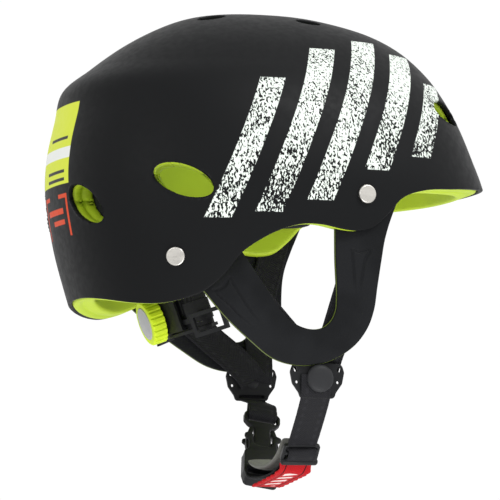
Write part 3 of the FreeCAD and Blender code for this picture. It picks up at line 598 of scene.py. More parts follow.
def dome_grid(columns, rows, inset, lift, vent_margin):
    """Dome sheet cut at the rim (raised by `lift`) and at the vents: points, faces and normals."""
    angles = np.linspace(0, 2 * math.pi, columns, endpoint=False)
    search = np.linspace(RIM_SEARCH_FROM, 1, 800)
    sheet = dome_point(angles[:, None], search[None, :], inset)
    below = sheet[..., 2] < rim_height(sheet[..., 0]) + lift
    first = np.argmax(below, axis=1)
    gap = sheet[..., 2] - rim_height(sheet[..., 0]) - lift
    rim_levels = []
    for column, step in enumerate(first):
        above, under = gap[column, step - 1], gap[column, step]
        rim_levels.append(search[step - 1] + (search[step] - search[step - 1]) * above / (above - under))
    share = np.linspace(CROWN_CAP, 1, rows)
    levels = np.array(rim_levels)[None, :] * share[:, None]
    points = dome_point(np.broadcast_to(angles, levels.shape), levels, inset).reshape(-1, 3)
    faces = np.array(grid_faces(rows, columns, wrap_columns=True))[:, ::-1]
    crown = len(points)
    points = np.vstack([points, np.array([[CROWN_X, 0, CROWN_Z]]) * inset_scale(inset)])
    cap = np.array([(crown, c, (c + 1) % columns) for c in range(columns)])
    normals = vertex_normals(points, list(map(tuple, faces)) + list(map(tuple, cap)))
    keep = np.ones(len(faces), bool)
    for centre, outward, along, half_length, half_width in VENTS:
        for side in (LEFT, RIGHT):
            flip = np.array([1, -side, 1])
            c = np.array(centre) * flip
            n = np.array(outward) * flip / np.linalg.norm(outward)
            a = np.array(along, float) * flip
            a = a - n * a.dot(n)
            a /= np.linalg.norm(a)
            b = np.cross(n, a)
            local = points - c
            u, w = local @ a / (half_length + vent_margin), local @ b / (half_width + vent_margin)
            reach = np.where(local @ n > -VENT_DEPTH, np.hypot(u, w), OUTSIDE)
            inside = reach < 1
            whole = inside[faces].all(axis=1)
            keep &= ~whole
            edge = np.unique(faces[keep & inside[faces].any(axis=1)])
            edge = edge[inside[edge]]
            grow = (1 / reach[edge] - 1)[:, None]
            points[edge] += grow * (np.outer(local[edge] @ a, a) + np.outer(local[edge] @ b, b))
    return points, [tuple(f) for f in faces[keep]] + [tuple(f) for f in cap], normals


def vertex_normals(points, faces):
    """Outward direction at each point, from the triangles and quads around it."""
    normals = np.zeros_like(points)
    for size in (3, 4):
        some = np.array([f for f in faces if len(f) == size])
        corners = points[some]
        face_normal = np.cross(corners[:, 2] - corners[:, 0], corners[:, -1] - corners[:, 1])
        for k in range(size):
            np.add.at(normals, some[:, k], face_normal)
    return unit(normals)


def edge_profile(wall, radius, groove=0.0, steps=5):
    """Section of a cut edge: how far it stands out of the cut, and how deep it is below the outer face."""
    turn = np.linspace(0, math.pi / 2, steps + 1)[1:]
    outer = [(radius * math.sin(t), -radius * (1 - math.cos(t))) for t in turn]
    middle = []
    if groove > 0:
        for share, dip in ((0.34, 0), (0.4, 1), (0.5, 1), (0.56, 0)):
            middle.append((radius - groove * dip, -wall * share))
    inner = [(out, -wall - depth) for out, depth in outer[::-1]]
    return outer + middle + inner


SMOOTH_PASSES = 10


def thick_sheet(points, faces, normals, wall, radius, groove=0.0):
    """Closed solid from an outer face: inner face, and rounded edges at every border."""
    count = len(points)
    seen = set()
    for face in faces:
        seen.update(zip(face, face[1:] + face[:1]))
    border = {a: b for a, b in seen if (b, a) not in seen}
    all_points = [points, points - normals * wall]
    all_faces = list(faces) + [tuple(count + i for i in face[::-1]) for face in faces]
    profile = edge_profile(wall, radius, groove)
    before = {b: a for a, b in border.items()}
    order = list(border)
    row = {vertex: k for k, vertex in enumerate(order)}
    here = points[order]
    tangent = points[[border[v] for v in order]] - points[[before.get(v, v) for v in order]]
    outwards = unit(np.cross(tangent, normals[order]))
    ahead = np.array([row[border[v]] for v in order])
    behind = np.array([row[before.get(v, v)] for v in order])
    for _ in range(SMOOTH_PASSES):
        outwards = unit(outwards + outwards[ahead] + outwards[behind])
    start = 2 * count
    for out, depth in profile:
        all_points.append(here + outwards * out + normals[order] * depth)
    size = len(order)
    for v in order:
        a, b = row[v], row[border[v]]
        ladder_a = [v] + [start + k * size + a for k in range(len(profile))] + [count + v]
        ladder_b = [border[v]] + [start + k * size + b for k in range(len(profile))] + [count + border[v]]
        all_faces += zip(ladder_a, ladder_a[1:], ladder_b[1:], ladder_b)
    return np.vstack(all_points), all_faces


def dome_part(name, inset, wall, radius, lift, material, node, columns, rows, groove=0.0):
    """Shell or liner: a wall under the dome, cut at the rim and the vents."""
    points, faces, normals = dome_grid(columns, rows, inset, lift, radius)
    points, faces = thick_sheet(points, faces, normals, wall, radius, groove)
    obj = mesh_object(name, points, faces)
    face_outwards(obj.data)
    obj.data.shade_smooth()
    finish_piece(obj, material, "helmet", [node])


def finish_piece(obj, material, bodies, nodes):
    """Material and body of a finished piece, and hides the frame parts it stands for; `bodies` is one body, or a
    blend whose values are not used, in which case the piece only has its transform baked.
    """
    obj.data.materials.clear()
    obj.data.materials.append(material)
    if isinstance(bodies, str):
        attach(obj, bodies)
    else:
        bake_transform(obj)
    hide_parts(*nodes)


# ---- straps
SELVAGE_HEIGHT, SCALLOP_PITCH = 0.12, 6.2


def strap(name, path, across, width=WEB_WIDTH, wall=WEB_WALL, step=0.8, scallop=0.0, curl=0.0):
    """Flat webbing along a path. `across` is one direction or one per path point."""
    count = max(12, int(reach_along(np.array(path, float))[-1] / step))
    line = smooth_curve(path, count)
    spread = np.array(across, float)
    if spread.ndim == 1:
        spread = np.tile(spread, (len(path), 1))
    knots = np.linspace(0, 1, len(path))
    even = np.linspace(0, 1, count)
    spread = np.stack([np.interp(even, knots, spread[:, k]) for k in range(3)], -1)
    tangent = unit(np.gradient(line, axis=0))
    spread = unit(spread - tangent * np.sum(spread * tangent, axis=1)[:, None])
    normal = np.cross(tangent, spread)
    along = reach_along(line)
    half, thick = width / 2, wall / 2
    top = [(u, 1) for u in np.linspace(-half + thick, half - thick, 25)]
    turn = np.linspace(math.pi / 2, -math.pi / 2, 7)[1:-1]
    right_end = [(half - thick + thick * math.cos(t), math.sin(t)) for t in turn]
    section = top + right_end + [(u, -1) for u, _ in top[::-1]] + [(-u, -t) for u, t in right_end]
    u = np.array([s[0] for s in section])
    t = np.array([s[1] for s in section])
    selvage = SELVAGE_HEIGHT * np.exp(-((np.abs(u) - half + 1.1) / 0.5) ** 2)
    groove = -SELVAGE_HEIGHT * np.exp(-((np.abs(u) - half + 2.1) / 0.45) ** 2)
    height = t * (thick + selvage + groove)
    points, weave = [], []
    for k in range(count):
        bite = 0.5 - 0.5 * math.cos(2 * math.pi * along[k] / SCALLOP_PITCH)
        stretch = 1 - scallop / half * bite
        ripple = 0.05 * math.sin(along[k] * 0.9) + 0.04 * math.sin(along[k] * 2.3 + 1)
        bow = curl * (u / half) ** 2
        points.append(line[k] + np.outer(u * stretch, spread[k]) + np.outer(height + bow + ripple, normal[k]))
        weave += [(a * stretch * MM, along[k] * MM, 0) for a in u]
    size = len(section)
    obj = mesh_object(name, np.vstack(points), tube_faces(count, size))
    attribute = obj.data.attributes.new("weave", "FLOAT_VECTOR", "POINT")
    attribute.data.foreach_set("vector", np.array(weave, np.float32).ravel())
    face_outwards(obj.data)
    obj.data.set_sharp_from_angle(angle=math.radians(60))
    return obj


# ---- cushions
CORNER_POWER, CHANNEL_DEPTH, CHANNEL_WIDTH, PAD_BASE = 5, 0.16, 0.035, 0.5


def cushion(name, surface, thickness, columns=44, rows=30):
    """Crowned pad on a surface: surface(a, b, depth) with a and b from -1 to 1 and depth into the cavity."""
    a, b = np.meshgrid(np.linspace(-1, 1, columns), np.linspace(-1, 1, rows))
    square = np.maximum(np.abs(a), np.abs(b))
    ball = (np.abs(a) ** CORNER_POWER + np.abs(b) ** CORNER_POWER) ** (1 / CORNER_POWER)
    shrink = np.where(ball > 0, square / np.maximum(ball, 1e-6), 1)
    a, b = a * shrink, b * shrink
    fullness = (1 - np.clip(square, 0, 1) ** 6) ** 0.5
    crown = fullness * (0.82 + 0.18 * (1 - square ** 2))
    channel = CHANNEL_DEPTH * np.exp(-(a / CHANNEL_WIDTH) ** 2) * fullness
    inner = surface(a, b, PAD_BASE + thickness * (crown - channel))
    outer = surface(a, b, PAD_BASE - 0.3 * fullness)
    rim = square > 0.999
    points = np.vstack([inner.reshape(-1, 3), outer.reshape(-1, 3)])
    front = grid_faces(rows, columns)
    back = [tuple(i + rows * columns for i in f[::-1]) for f in front]
    obj = mesh_object(name, points, front + back)
    face_outwards(obj.data, 0.9 * MM, np.flatnonzero(np.concatenate([rim.ravel(), rim.ravel()])))
    subdivided(obj)
    obj.data.shade_smooth()
    return obj


# ---- ear guards
TUCK_INSET, TUCK_BLEND = 5.9, 0.8


def guard_depth(x, z):
    """Middle layer of the ear guard: hangs free below, and tucks under the shell above the rim."""
    free = guard_y(x, z)
    tucked = dome_side(x, z, TUCK_INSET)
    blend = -np.logaddexp(-free / TUCK_BLEND, -tucked / TUCK_BLEND) * TUCK_BLEND
    near_rim = smoothstep(z - rim_height(x), -26, -4)
    return free + (blend - free) * near_rim


def band_distance(points, line):
    """Shortest distance from side-view points to a polyline."""
    best = np.full(len(points), 1e9)
    for a, b in zip(line[:-1], line[1:]):
        run = b - a
        t = np.clip(((points - a) @ run) / (run @ run), 0, 1)
        best = np.minimum(best, np.linalg.norm(points - a - t[:, None] * run, axis=1))
    return best


def smoothstep(value, low, high):
    t = np.clip((value - low) / (high - low), 0, 1)
    return t * t * (3 - 2 * t)


PRESS_DEPTH = 0.85
WEDGE_EDGES = [
    [(24.8, 33.2), (30.4, 31.6), (36.4, 32.8), (33.2, 27), (31.6, 18), (30.4, 9), (29.2, 2)],
    [(24.8, 33.2), (25.8, 24), (26.8, 14), (27.8, 5)],
]
ARC_EDGES = [
    [(-60.7, 6.6), (-56.5, 7.6), (-53.0, 10.2), (-50.8, 14.4)],
    [(-50.8, 14.4), (-43, 3), (-35, -8), (-27, -17)],
    [(-60.7, 6.6), (-50, -2), (-40, -11), (-29, -18.5)],
]


def emboss(points, side):
    """Pressed lines of the skin, 0 to 1, with the panels between them."""
    strength = np.zeros(len(points))
    for edges, top, tip in ((WEDGE_EDGES, (30, 33), (28.5, 3)), (ARC_EDGES, (-56, 10), (-28, -18))):
        top, tip = np.array(settle(*top, side)), np.array(settle(*tip, side))
        run = tip - top
        fade = 1 - smoothstep(((points - top) @ run) / (run @ run), 0.55, 1.0)
        for edge in edges:
            line = smooth_curve([settle(x, z, side) for x, z in edge], 24)
            strength = np.maximum(strength, (1 - smoothstep(band_distance(points, line), 0.3, 1.1)) * fade)
    return strength


def guard_band(name, side, section, pressed=False, lengthwise=420):
    """Closed band between the two outlines. Section: distance from the edge, depth from the middle layer."""
    outer_line = [(61, 80)] + GUARD_OUTER + [(-92, 34)]
    inner_line = [(13.6, 82)] + GUARD_INNER + [(-66, 60)]
    outer = smooth_curve([settle(x, z, side) for x, z in outer_line], lengthwise)
    inner = smooth_curve([settle(x, z, side) for x, z in inner_line], lengthwise)
    run = inner - outer
    width = np.linalg.norm(run, axis=1)
    run /= width[:, None]
    crosswise = 46
    first_depth, last_depth = section[-1][1], section[0][1]
    ring = [("outer", out, depth) for out, depth in section]
    ring += [("span", k / crosswise, first_depth) for k in range(1, crosswise)]
    ring += [("inner", out, depth) for out, depth in section[::-1]]
    ring += [("span", 1 - k / 4, last_depth) for k in range(1, 4)]
    rows = []
    inset_max = section[-1][0]
    for kind, value, depth in ring:
        if kind == "outer":
            flat = outer + run * value
        elif kind == "inner":
            flat = inner - run * value
        else:
            flat = outer + run * (inset_max + value * (width - 2 * inset_max))[:, None]
        y = guard_depth(flat[:, 0], flat[:, 1]) + depth
        if pressed and kind == "span" and depth == first_depth:
            y = y - PRESS_DEPTH * emboss(flat, side)
        rows.append(np.stack([flat[:, 0], side * y, flat[:, 1]], -1))
    size = len(ring)
    points = np.stack(rows, 1).reshape(-1, 3)
    obj = mesh_object(name, points, tube_faces(lengthwise, size))
    face_outwards(obj.data)
    obj.data.set_sharp_from_angle(angle=math.radians(55))
    return obj


def rounding(radius, start_depth, end_depth, steps=5):
    """Edge section from the under side at start_depth, round to the top at end_depth."""
    section = [(0.02, start_depth)]
    sign = 1 if end_depth > start_depth else -1
    for k in range(steps + 1):
        turn = math.pi / 2 * k / steps
        section.append((radius * (1 - math.cos(turn)), end_depth - sign * radius * (1 - math.sin(turn))))
    return section


# ---- prints
# Worn slanted bars: place along the slanted direction, lowest and highest point, half width.
BAR_LEAN, BAR_FOOT = 0.43, 100
BARS = [(-40, 50, 138, 8), (-11, 54, 160, 8.5), (18, 62, 168, 8.5), (47, 82, 161, 8.5), (75, 92, 143, 7.5)]
SIGNAL = (0.62, 0.06, 0.015)
LABEL = (0.62, 0.7, 0.05)


def box_mask(f, axes, y_range, z_range):
    """1 inside a box of the rear view, 0 outside."""
    sides = [f.window(value, low * MM, high * MM, 0.25 * MM)
             for value, (low, high) in ((axes[1], y_range), (axes[2], z_range))]
    return f.times(*sides, f.ramp(axes[0], -0.09, -0.094))


def rear_prints(f, base):
    """Plain rear label, signal bracket and short bars."""
    axes = f.axes()
    label = box_mask(f, axes, (-28, 28), (76, 127))
    stripe = box_mask(f, axes, (-28, 28), (92, 99))
    base = f.mix(label, base, LABEL)
    base = f.mix(stripe, base, (0.75, 0.77, 0.74))
    for low, high in ((78, 80), (83, 85), (104, 106)):
        base = f.mix(box_mask(f, axes, (-22, 10), (low, high)), base, (0.03, 0.03, 0.03))
    for y_range, z_range in (
        ((-24, -21.5), (44, 70)), ((-24, -10), (67.5, 70)), ((21.5, 24), (44, 70)), ((10, 24), (67.5, 70)),
        ((-16, 16), (58, 61.5)), ((-16, 6), (51.5, 54.5)),
    ):
        base = f.mix(box_mask(f, axes, y_range, z_range), base, SIGNAL)
    return base, label


def pull_tab_print(f, base, across, along):
    """Two dark border lines and plain light bars along the tab."""
    fold = f.math("ABSOLUTE", across)
    base = f.mix(f.window(fold, 0.00595, 0.00675, 0.00015), base, (0.05, 0.006, 0.008))
    step = f.math("MODULO", f.math("ADD", along, f.times(across, 0.45)), 0.0085)
    bar = f.times(f.window(step, 0.00205, 0.00565, 0.00015), f.ramp(fold, 0.0044, 0.0041),
                  f.window(along, 0.01125, 0.04425, 0.00025))
    return f.mix(bar, base, (0.75, 0.62, 0.6))


def strap_marks(f, base, across, along):
    """Tone-in-tone ticks woven into the black webbing."""
    step = f.math("MODULO", along, 0.0068)
    fold = f.math("ABSOLUTE", across)
    tick = f.times(f.window(step, 0.0014, 0.0044, 0.0002), f.window(fold, 0.00475, 0.00665, 0.00015))
    return f.mix(f.times(tick, 0.55), base, (0.024, 0.024, 0.027))


SHELL = shell_finish()
FOAM = foam_finish()
GUARD_SKIN = guard_finish()
GUARD_CORE = foam_finish("guard_core_foam", (0.11, 0.15, 0.012), (0.07, 0.1, 0.01))
LINING = knit_finish("guard_lining_knit", (0.006, 0.0063, 0.0075), (0.022, 0.023, 0.026))
PAD_KNIT = knit_finish("pad_knit", (0.012, 0.0125, 0.014), (0.04, 0.042, 0.046))
CHIN_KNIT = knit_finish("chin_pad_knit", (0.11, 0.11, 0.1), (0.22, 0.22, 0.205), pitch=0.8)
BLACK_WEB = webbing_finish("webbing_black_weave", (0.004, 0.004, 0.005), (0.026, 0.026, 0.029), strap_marks)
RED_WEB = webbing_finish("webbing_red_weave", (0.3, 0.006, 0.009), (0.52, 0.015, 0.02), pull_tab_print)
PLASTIC = plastic_finish("moulded_black", (0.0065, 0.0068, 0.0076), 0.42)
PLASTIC_GREY = plastic_finish("moulded_grey", (0.011, 0.0115, 0.0125), 0.36)
CAP_GREY = plastic_finish("cap_satin", (0.017, 0.0175, 0.019), 0.46)
DIAL_LIME = plastic_finish("dial_satin_lime", (0.5, 0.64, 0.02), 0.5)
DIAL_DISC = plastic_finish("dial_disc_grey", (0.34, 0.34, 0.36), 0.34)
NICKEL = metal_finish()

# ---- shell and foam
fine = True
SHELL_WALL, SHELL_GAP, FOAM_WALL = 3.0, 0.2, 15.0
dome_part("shell_body", 0, SHELL_WALL, 0.9, 0.0, SHELL, "outer_shell",
          560 if fine else 320, 190 if fine else 110)
dome_part("foam_body", SHELL_WALL + 0.5, FOAM_WALL - 0.6, 2.2, 1.2, FOAM, "foam_liner",
          480 if fine else 280, 160 if fine else 90, groove=0.9)

# ---- comfort pads
PAD_DEPTH = SHELL_WALL + SHELL_GAP + FOAM_WALL
PAD_THICKNESS = 6.6


def between(limits, share):
    low, high = limits
    return (low + high) / 2 + (high - low) / 2 * share


def pad_surface(place, first, second, facing=1):
    """Surface under a pad at the liner's end, side or crown, between two pairs of limits."""
    def surface(a, b, depth):
        p, q = between(first, a), between(second, b)
        inset = PAD_DEPTH + depth
        if place == "end":
            return np.stack([np.vectorize(dome_end)(p, q, inset, facing), p, q], -1)
        if place == "side":
            return np.stack([p, facing * np.vectorize(dome_side)(p, q, inset), q], -1)
        return np.stack([p, q, np.vectorize(dome_top)(p, q, inset)], -1)
    return surface


PAD_SURFACES = {
    "front_pad": pad_surface("end", (-54, 54), (85, 109), 1),
    "rear_pad": pad_surface("end", (-44, 44), (41, 81), -1),
    "side_pad_left": pad_surface("side", (2, 61), (63, 95), LEFT),
    "side_pad_right": pad_surface("side", (2, 61), (63, 95), RIGHT),
    "crown_pad": pad_surface("crown", (-49, 33), (-21, 21)),
}
for node, surface in PAD_SURFACES.items():
    piece = cushion(node + "_cushion", surface, PAD_THICKNESS)
    finish_piece(piece, PAD_KNIT, "helmet", [node])

# ---- ear guards and their webbing
HINGE_DOWN = np.array([0.3688, -0.9295])
BLEND_ABOVE, BLEND_BELOW = 3.0, 16.0
# Webs behind each guard: depth behind it, upper side-view points, then lower points in space.
GUARD_WEBS = {
    "front_web": (4.5, [(41.8, 69), (37.9, 55), (34.3, 41.5), (29, 21.7), (23.5, 1.3), (17.5, -21)],
                  [(13.4, 79.8, -36), (11.2, 79.4, -44.5)]),
    "rear_web": (6.3, [(-62, 36), (-52.3, 25), (-43.2, 15.2), (-28.6, -0.7), (-14, -16.6)],
                 [(-1.5, 78.6, -30), (4.6, 77.9, -38.5), (7.4, 77.8, -44.5)]),
}


def hinge_blend(side):
    """Blend of a guard piece from the helmet to the ear guard's body, across the hinge line."""
    first = np.array(FRONT_HINGE) - HINGE_DOWN * BLEND_ABOVE
    last = np.array(FRONT_HINGE) + HINGE_DOWN * BLEND_BELOW
    body = "ear_" + SIDE_NAMES[side]
    return "helmet", body, (first[0], 0, first[1]), (last[0], 0, last[1])


for side in (LEFT, RIGHT):
    side_name = SIDE_NAMES[side]
    skin = guard_band("guard_skin_" + side_name, side, rounding(0.9, 1.0, 2.2), pressed=True)
    finish_piece(skin, GUARD_SKIN, hinge_blend(side),
                 [f"{part}_{side_name}" for part in ("ear_guard_skin", "anchor_tab_front", "anchor_tab_rear")])
    core_section = [(0.1, -0.65), (-0.14, -0.4), (-0.2, 0.2), (-0.14, 0.8), (0.1, 1.05)]
    core = guard_band("guard_core_" + side_name, side, core_section)
    finish_piece(core, GUARD_CORE, hinge_blend(side), [f"ear_guard_core_{side_name}"])
    lining = guard_band("guard_lining_" + side_name, side, rounding(0.9, -0.6, -2.2))
    finish_piece(lining, LINING, hinge_blend(side), [f"ear_guard_lining_{side_name}"])

    for web_name, (tuck, upper, lower) in GUARD_WEBS.items():
        path = []
        for x, z in upper:
            sx, sz = settle(x, z, side)
            path.append((sx, side * (float(guard_depth(sx, sz)) - tuck), sz))
        for x, y, z in lower:
            sx, sz = settle(x, z, side)
            path.append((sx, side * y, sz))
        run = Vector(path[-1]) - Vector(path[0])
        across = Vector((-run.z, 0, run.x)).normalized()
        web = strap(f"{web_name}_{side_name}_weave", path, tuple(across))
        finish_piece(web, BLACK_WEB, hinge_blend(side), [f"{web_name}_{side_name}"])

# ---- strap dividers and snap caps
DIVIDER = (7, -47)
DIVIDER_Y = 80.6
SHIELD = [(-17.4, 5.5, 3), (-15.8, 10.6, 3.4), (-9, 11.4, 4), (9, 11.4, 4), (15.8, 10.6, 3.4), (17.4, 5.5, 3),
          (16, -1.5, 4), (12, -7, 4), (10.8, -10.5, 2.4), (-10.8, -10.5, 2.4), (-12, -7, 4), (-16, -1.5, 4)]
SHIELD_HOLES = [[(-15.4, 8.4), (-13.4, 8.9), (-12.5, 6.2), (-14.8, 5.6)],
                [(14.8, 5.6), (12.5, 6.2), (13.4, 8.9), (15.4, 8.4)],
                [(-8.6, -8.6), (-8.6, -7.0), (8.6, -7.0), (8.6, -8.6)]]
BUTTON_STEPS = 64
BUTTON_SECTION = [(0.01, 2.75), (3, 2.72), (5.2, 2.55), (6.8, 2.2), (7.8, 1.6), (8.35, 0.9), (8.5, 0.3),
                  (8.5, -0.4), (8.2, -0.9), (4.5, -1.0), (4.2, -4.6), (4.0, -5.2), (0.01, -5.3)]
for side in (LEFT, RIGHT):
    side_name = SIDE_NAMES[side]
    x, z = settle(*DIVIDER, side)
    flip = 1 if side == RIGHT else -1
    turn = place_matrix((x, side * (DIVIDER_Y + 1.5), z), (0, side, 0), (1, 0, 0))
    outlines = [rounded([(p[0], flip * p[1], p[2]) for p in SHIELD], 3)]
    outlines += [rounded([(a, flip * b) for a, b in hole], 0.6) for hole in SHIELD_HOLES]
    outlines.append(circle(13.2, flip * -0.6, 0.9, 20))
    outlines.append(circle(-13.2, flip * -0.6, 0.9, 20))
    shield = plate(f"divider_shield_{side_name}", outlines, 2.6, turn, 0.6)
    finish_piece(shield, PLASTIC, "ear_" + side_name, [f"divider_plate_{side_name}"])
    rings = []
    for radius, height in BUTTON_SECTION:
        rings += [(radius * math.cos(a), radius * math.sin(a), height)
                  for a in np.linspace(0, 2 * math.pi, BUTTON_STEPS, endpoint=False)]
    faces = grid_faces(len(BUTTON_SECTION), BUTTON_STEPS, wrap_columns=True)
    button = mesh_object(f"divider_button_{side_name}", rings, faces)
    button.data.transform(place_matrix((x + 0.8, side * (DIVIDER_Y + 5.4), z + 1.6), (0, side, 0), (1, 0, 0)))
    finish_piece(button, CAP_GREY, "ear_" + side_name, [f"divider_cap_{side_name}"])

# ---- right chin webbing, ladder lock, pull tab
x, z = settle(*DIVIDER, RIGHT)
RIGHT_WEB = [(x - 1.5, -84.6, z + 4), (x - 1.5, -84.6, z - 4), (x - 1.2, -83, z - 9), (7.2, -72, -65),
             (8.6, -56, -77.5), (9.1, -48.2, -84), (9.2, -45.5, -87.5)]
web = strap("chin_web_right_weave", RIGHT_WEB, (1, 0, 0))
finish_piece(web, BLACK_WEB, ("ear_right", "chin_right", (x, -84, z), (x, -73, z - 17)), ["chin_web_right"])

LOCK_MIDDLE = Vector((9.4, -43, -89))
LOCK_UP = (Vector((9, -48.5, -83)) - LOCK_MIDDLE).normalized()
LOCK_OUT = Vector((1, 0, 0)).cross(LOCK_UP).normalized()
lock_turn = place_matrix(LOCK_MIDDLE, LOCK_OUT, (1, 0, 0))


def lock_path(points):
    """Path of the lock's own up and out directions."""
    return [tuple(LOCK_MIDDLE + LOCK_UP * up + LOCK_OUT * out) for up, out in points]


def lock_bar(name, up, out, half_length, radius, steps=20):
    """Round bar with domed ends across the lock."""
    axis = Vector((1, 0, 0))
    start = LOCK_MIDDLE + LOCK_UP * up + LOCK_OUT * out - axis * half_length
    w = axis.cross(LOCK_OUT).normalized()
    stations = [(0.0, 0.02), (0.15, 0.55), (0.5, 0.87), (1.0, 1.0)]
    profile = [(r * radius * 0.8, s) for r, s in stations]
    profile += [(2 * half_length - along, size) for along, size in profile[::-1]]
    rings = []
    for along, size in profile:
        for k in range(steps):
            t = 2 * math.pi * k / steps
            around = LOCK_OUT * math.cos(t) + w * math.sin(t)
            rings.append(tuple(start + axis * along + around * radius * size))
    return mesh_object(name, rings, grid_faces(len(profile), steps, wrap_columns=True))


frame_outline = rounded([(-11.8, 6.2, 2), (-9, 6.8, 2), (9, 6.8, 2), (11.8, 6.2, 2), (12, -6.4, 1.6),
                         (-12, -6.4, 1.6)], 2)
windows = [rounded([(-9.8, low), (-9.8, high), (9.8, high), (9.8, low)], 0.8)
           for low, high in ((1.6, 4.8), (-4.4, -1.2))]
lock_pieces = [
    plate("lock_frame", [frame_outline] + windows, 3.0, lock_turn, 0.6),
    lock_bar("lock_lip", -6.2, 1.4, 12.2, 2.3),
    lock_bar("lock_ridge", 0.4, 0.9, 10.6, 1.5),
]
lock = joined("ladder_lock_body", lock_pieces)
finish_piece(lock, PLASTIC_GREY, "chin_piece", ["ladder_lock"])
FOLD_PATH = lock_path([
    (-3.4, -2.6), (-0.6, -2.2), (1.6, -0.6), (3.6, 1.4), (4.8, 3.0), (4.4, 4.6), (2.4, 5.0), (-0.6, 4.5),
    (-3.0, 3.7), (-4.0, 1.4), (-4.2, -1.2)])
fold = strap("lock_fold_weave", FOLD_PATH, (1, 0, 0), width=18.4, step=0.5)
finish_piece(fold, BLACK_WEB, "chin_piece", ["lock_web_fold"])

TAB_PATH = lock_path([(-6.6, -1.2), (-9.4, -1.4)])
TAB_PATH += [(8.2, -32, -100.4), (6.2, -18, -104.0), (2.8, 4.5, -108.4)]
tab = strap("pull_tab_weave", TAB_PATH, [(1, 0, 0), (1, 0, 0), (1, 0.05, 0), (1, 0.08, 0), (1, 0.1, 0)],
            width=22, scallop=1.3, curl=0.4)
finish_piece(tab, RED_WEB, "chin_piece", ["pull_tab"])

# ---- chin pad and the webbing under it
CHIN_X = 9.5
under = strap("chin_web_under_weave",
              [(CHIN_X, y, z) for y, z in ((-41, -90.6), (-35, -93.6), (-18, -100), (0, -102.6), (16, -103.2),
                                           (29, -102.2), (36, -100.2))], (1, 0, 0))
finish_piece(under, BLACK_WEB, "chin_piece", ["chin_web_under"])


def pad_ribbon(name, path, width, thickness, across):
    """Soft pad along a path: full in the middle, tapered at both ends."""
    line = smooth_curve(path, 110)
    tangent = unit(np.gradient(line, axis=0))
    normal = unit(np.cross(tangent, np.array(across, float)))
    steps = 56
    rows = []
    for k, (middle, out) in enumerate(zip(line, normal)):
        s = abs(2 * k / (len(line) - 1) - 1)
        size = (1 - s ** 9) ** 0.5 * 0.98 + 0.02
        for j in range(steps):
            t = 2 * math.pi * j / steps
            u = width / 2 * math.copysign(abs(math.cos(t)) ** 0.75, math.cos(t)) * (0.8 + 0.2 * size)
            h = thickness / 2 * math.copysign(abs(math.sin(t)) ** 0.8, math.sin(t)) * size
            seam = 0.35 * math.exp(-((abs(u) - width / 2 + 3) / 0.5) ** 2) * size
            h -= math.copysign(seam, h)
            rows.append(middle + np.array(across) * u + out * h)
    return mesh_object(name, rows, tube_faces(len(line), steps))


chin = pad_ribbon("chin_cushion", [(CHIN_X, y, z) for y, z in ((-38, -80), (-30, -88.5), (-14, -95), (6, -96.5),
                                                               (22, -94.5), (32, -91.5))], 22, 4.4, (1, 0, 0))
finish_piece(chin, CHIN_KNIT, "chin_piece", ["chin_pad"])

# ---- side-release buckle
MALE_MIDDLE = Vector((18.5, 61, -65))
BUCKLE_UP = Vector((0.2, 0.58, 0.79)).normalized()
BUCKLE_ACROSS = Vector((0.97, -0.1, -0.17))
BUCKLE_ACROSS = (BUCKLE_ACROSS - BUCKLE_UP * BUCKLE_ACROSS.dot(BUCKLE_UP)).normalized()
BUCKLE_OUT = BUCKLE_ACROSS.cross(BUCKLE_UP).normalized()
buckle_turn = place_matrix(MALE_MIDDLE, BUCKLE_OUT, BUCKLE_ACROSS)


def mirrored(half):
    """Closed outline from its right half."""
    return half + [(-p[0],) + tuple(p[1:]) for p in half[::-1]]


male_outline = mirrored([(9.6, 6.4, 2.4), (12, 3.6, 2.4), (12, -1.6, 2.4), (9.4, -4.8, 2.4), (5.3, -7.6, 2.6),
                         (5.2, -13, 1), (6.0, -16, 1), (6.0, -31, 1.4), (3.6, -33, 1.4)])
male = plate("buckle_male_body", [rounded(male_outline, 2), rounded([(-9.9, -2.3), (-9.9, 2.9), (9.9, 2.9),
                                                                    (9.9, -2.3)], 0.9)],
             4.4, buckle_turn, 0.8)
finish_piece(male, PLASTIC, "chin_left", ["buckle_male"])


def buckle_face(out):
    """Buckle frame moved outwards by some millimetres."""
    return Matrix.Translation(BUCKLE_OUT * out * MM) @ buckle_turn


face_outline = mirrored([(6.6, -15.6, 1.4), (8.4, -13.9, 1.4), (12.2, -15.2, 1.6), (12.2, -18, 1.4),
                         (9.4, -20, 1.6), (9.4, -27.5, 1.6), (12.2, -30, 1.6), (12.4, -46, 3), (10.6, -52.4, 3)])
face_outline += [(-6.2, -24, 3), (6.2, -24, 3)]
web_hole = rounded([(-9.9, -48.4), (-9.9, -44.6), (9.9, -44.6), (9.9, -48.4)], 1)
rail_right = rounded([(9.9, -29.6), (12.1, -30.4), (12.3, -42), (9.9, -42)], 0.5)
rail_left = rounded([(-x, y) for x, y in ((9.9, -29.6), (9.9, -42), (12.3, -42), (12.1, -30.4))], 0.5)
end_block = rounded(mirrored([(12.3, -40, 0.6), (12.3, -46, 3), (10.5, -52.2, 3)]), 2)
female = joined("buckle_female_body", [
    plate("female_front", [rounded(face_outline, 2), web_hole], 2.2, buckle_face(3.4), 0.8),
    plate("female_back", [rounded(face_outline, 2), web_hole], 2.2, buckle_face(-3.4), 0.8),
    plate("female_rail_right", [rail_right], 6, buckle_turn, 0.3),
    plate("female_rail_left", [rail_left], 6, buckle_turn, 0.3),
    plate("female_end", [end_block, web_hole], 7, buckle_turn, 0.5),
])
finish_piece(female, PLASTIC, "chin_piece", ["buckle_female"])

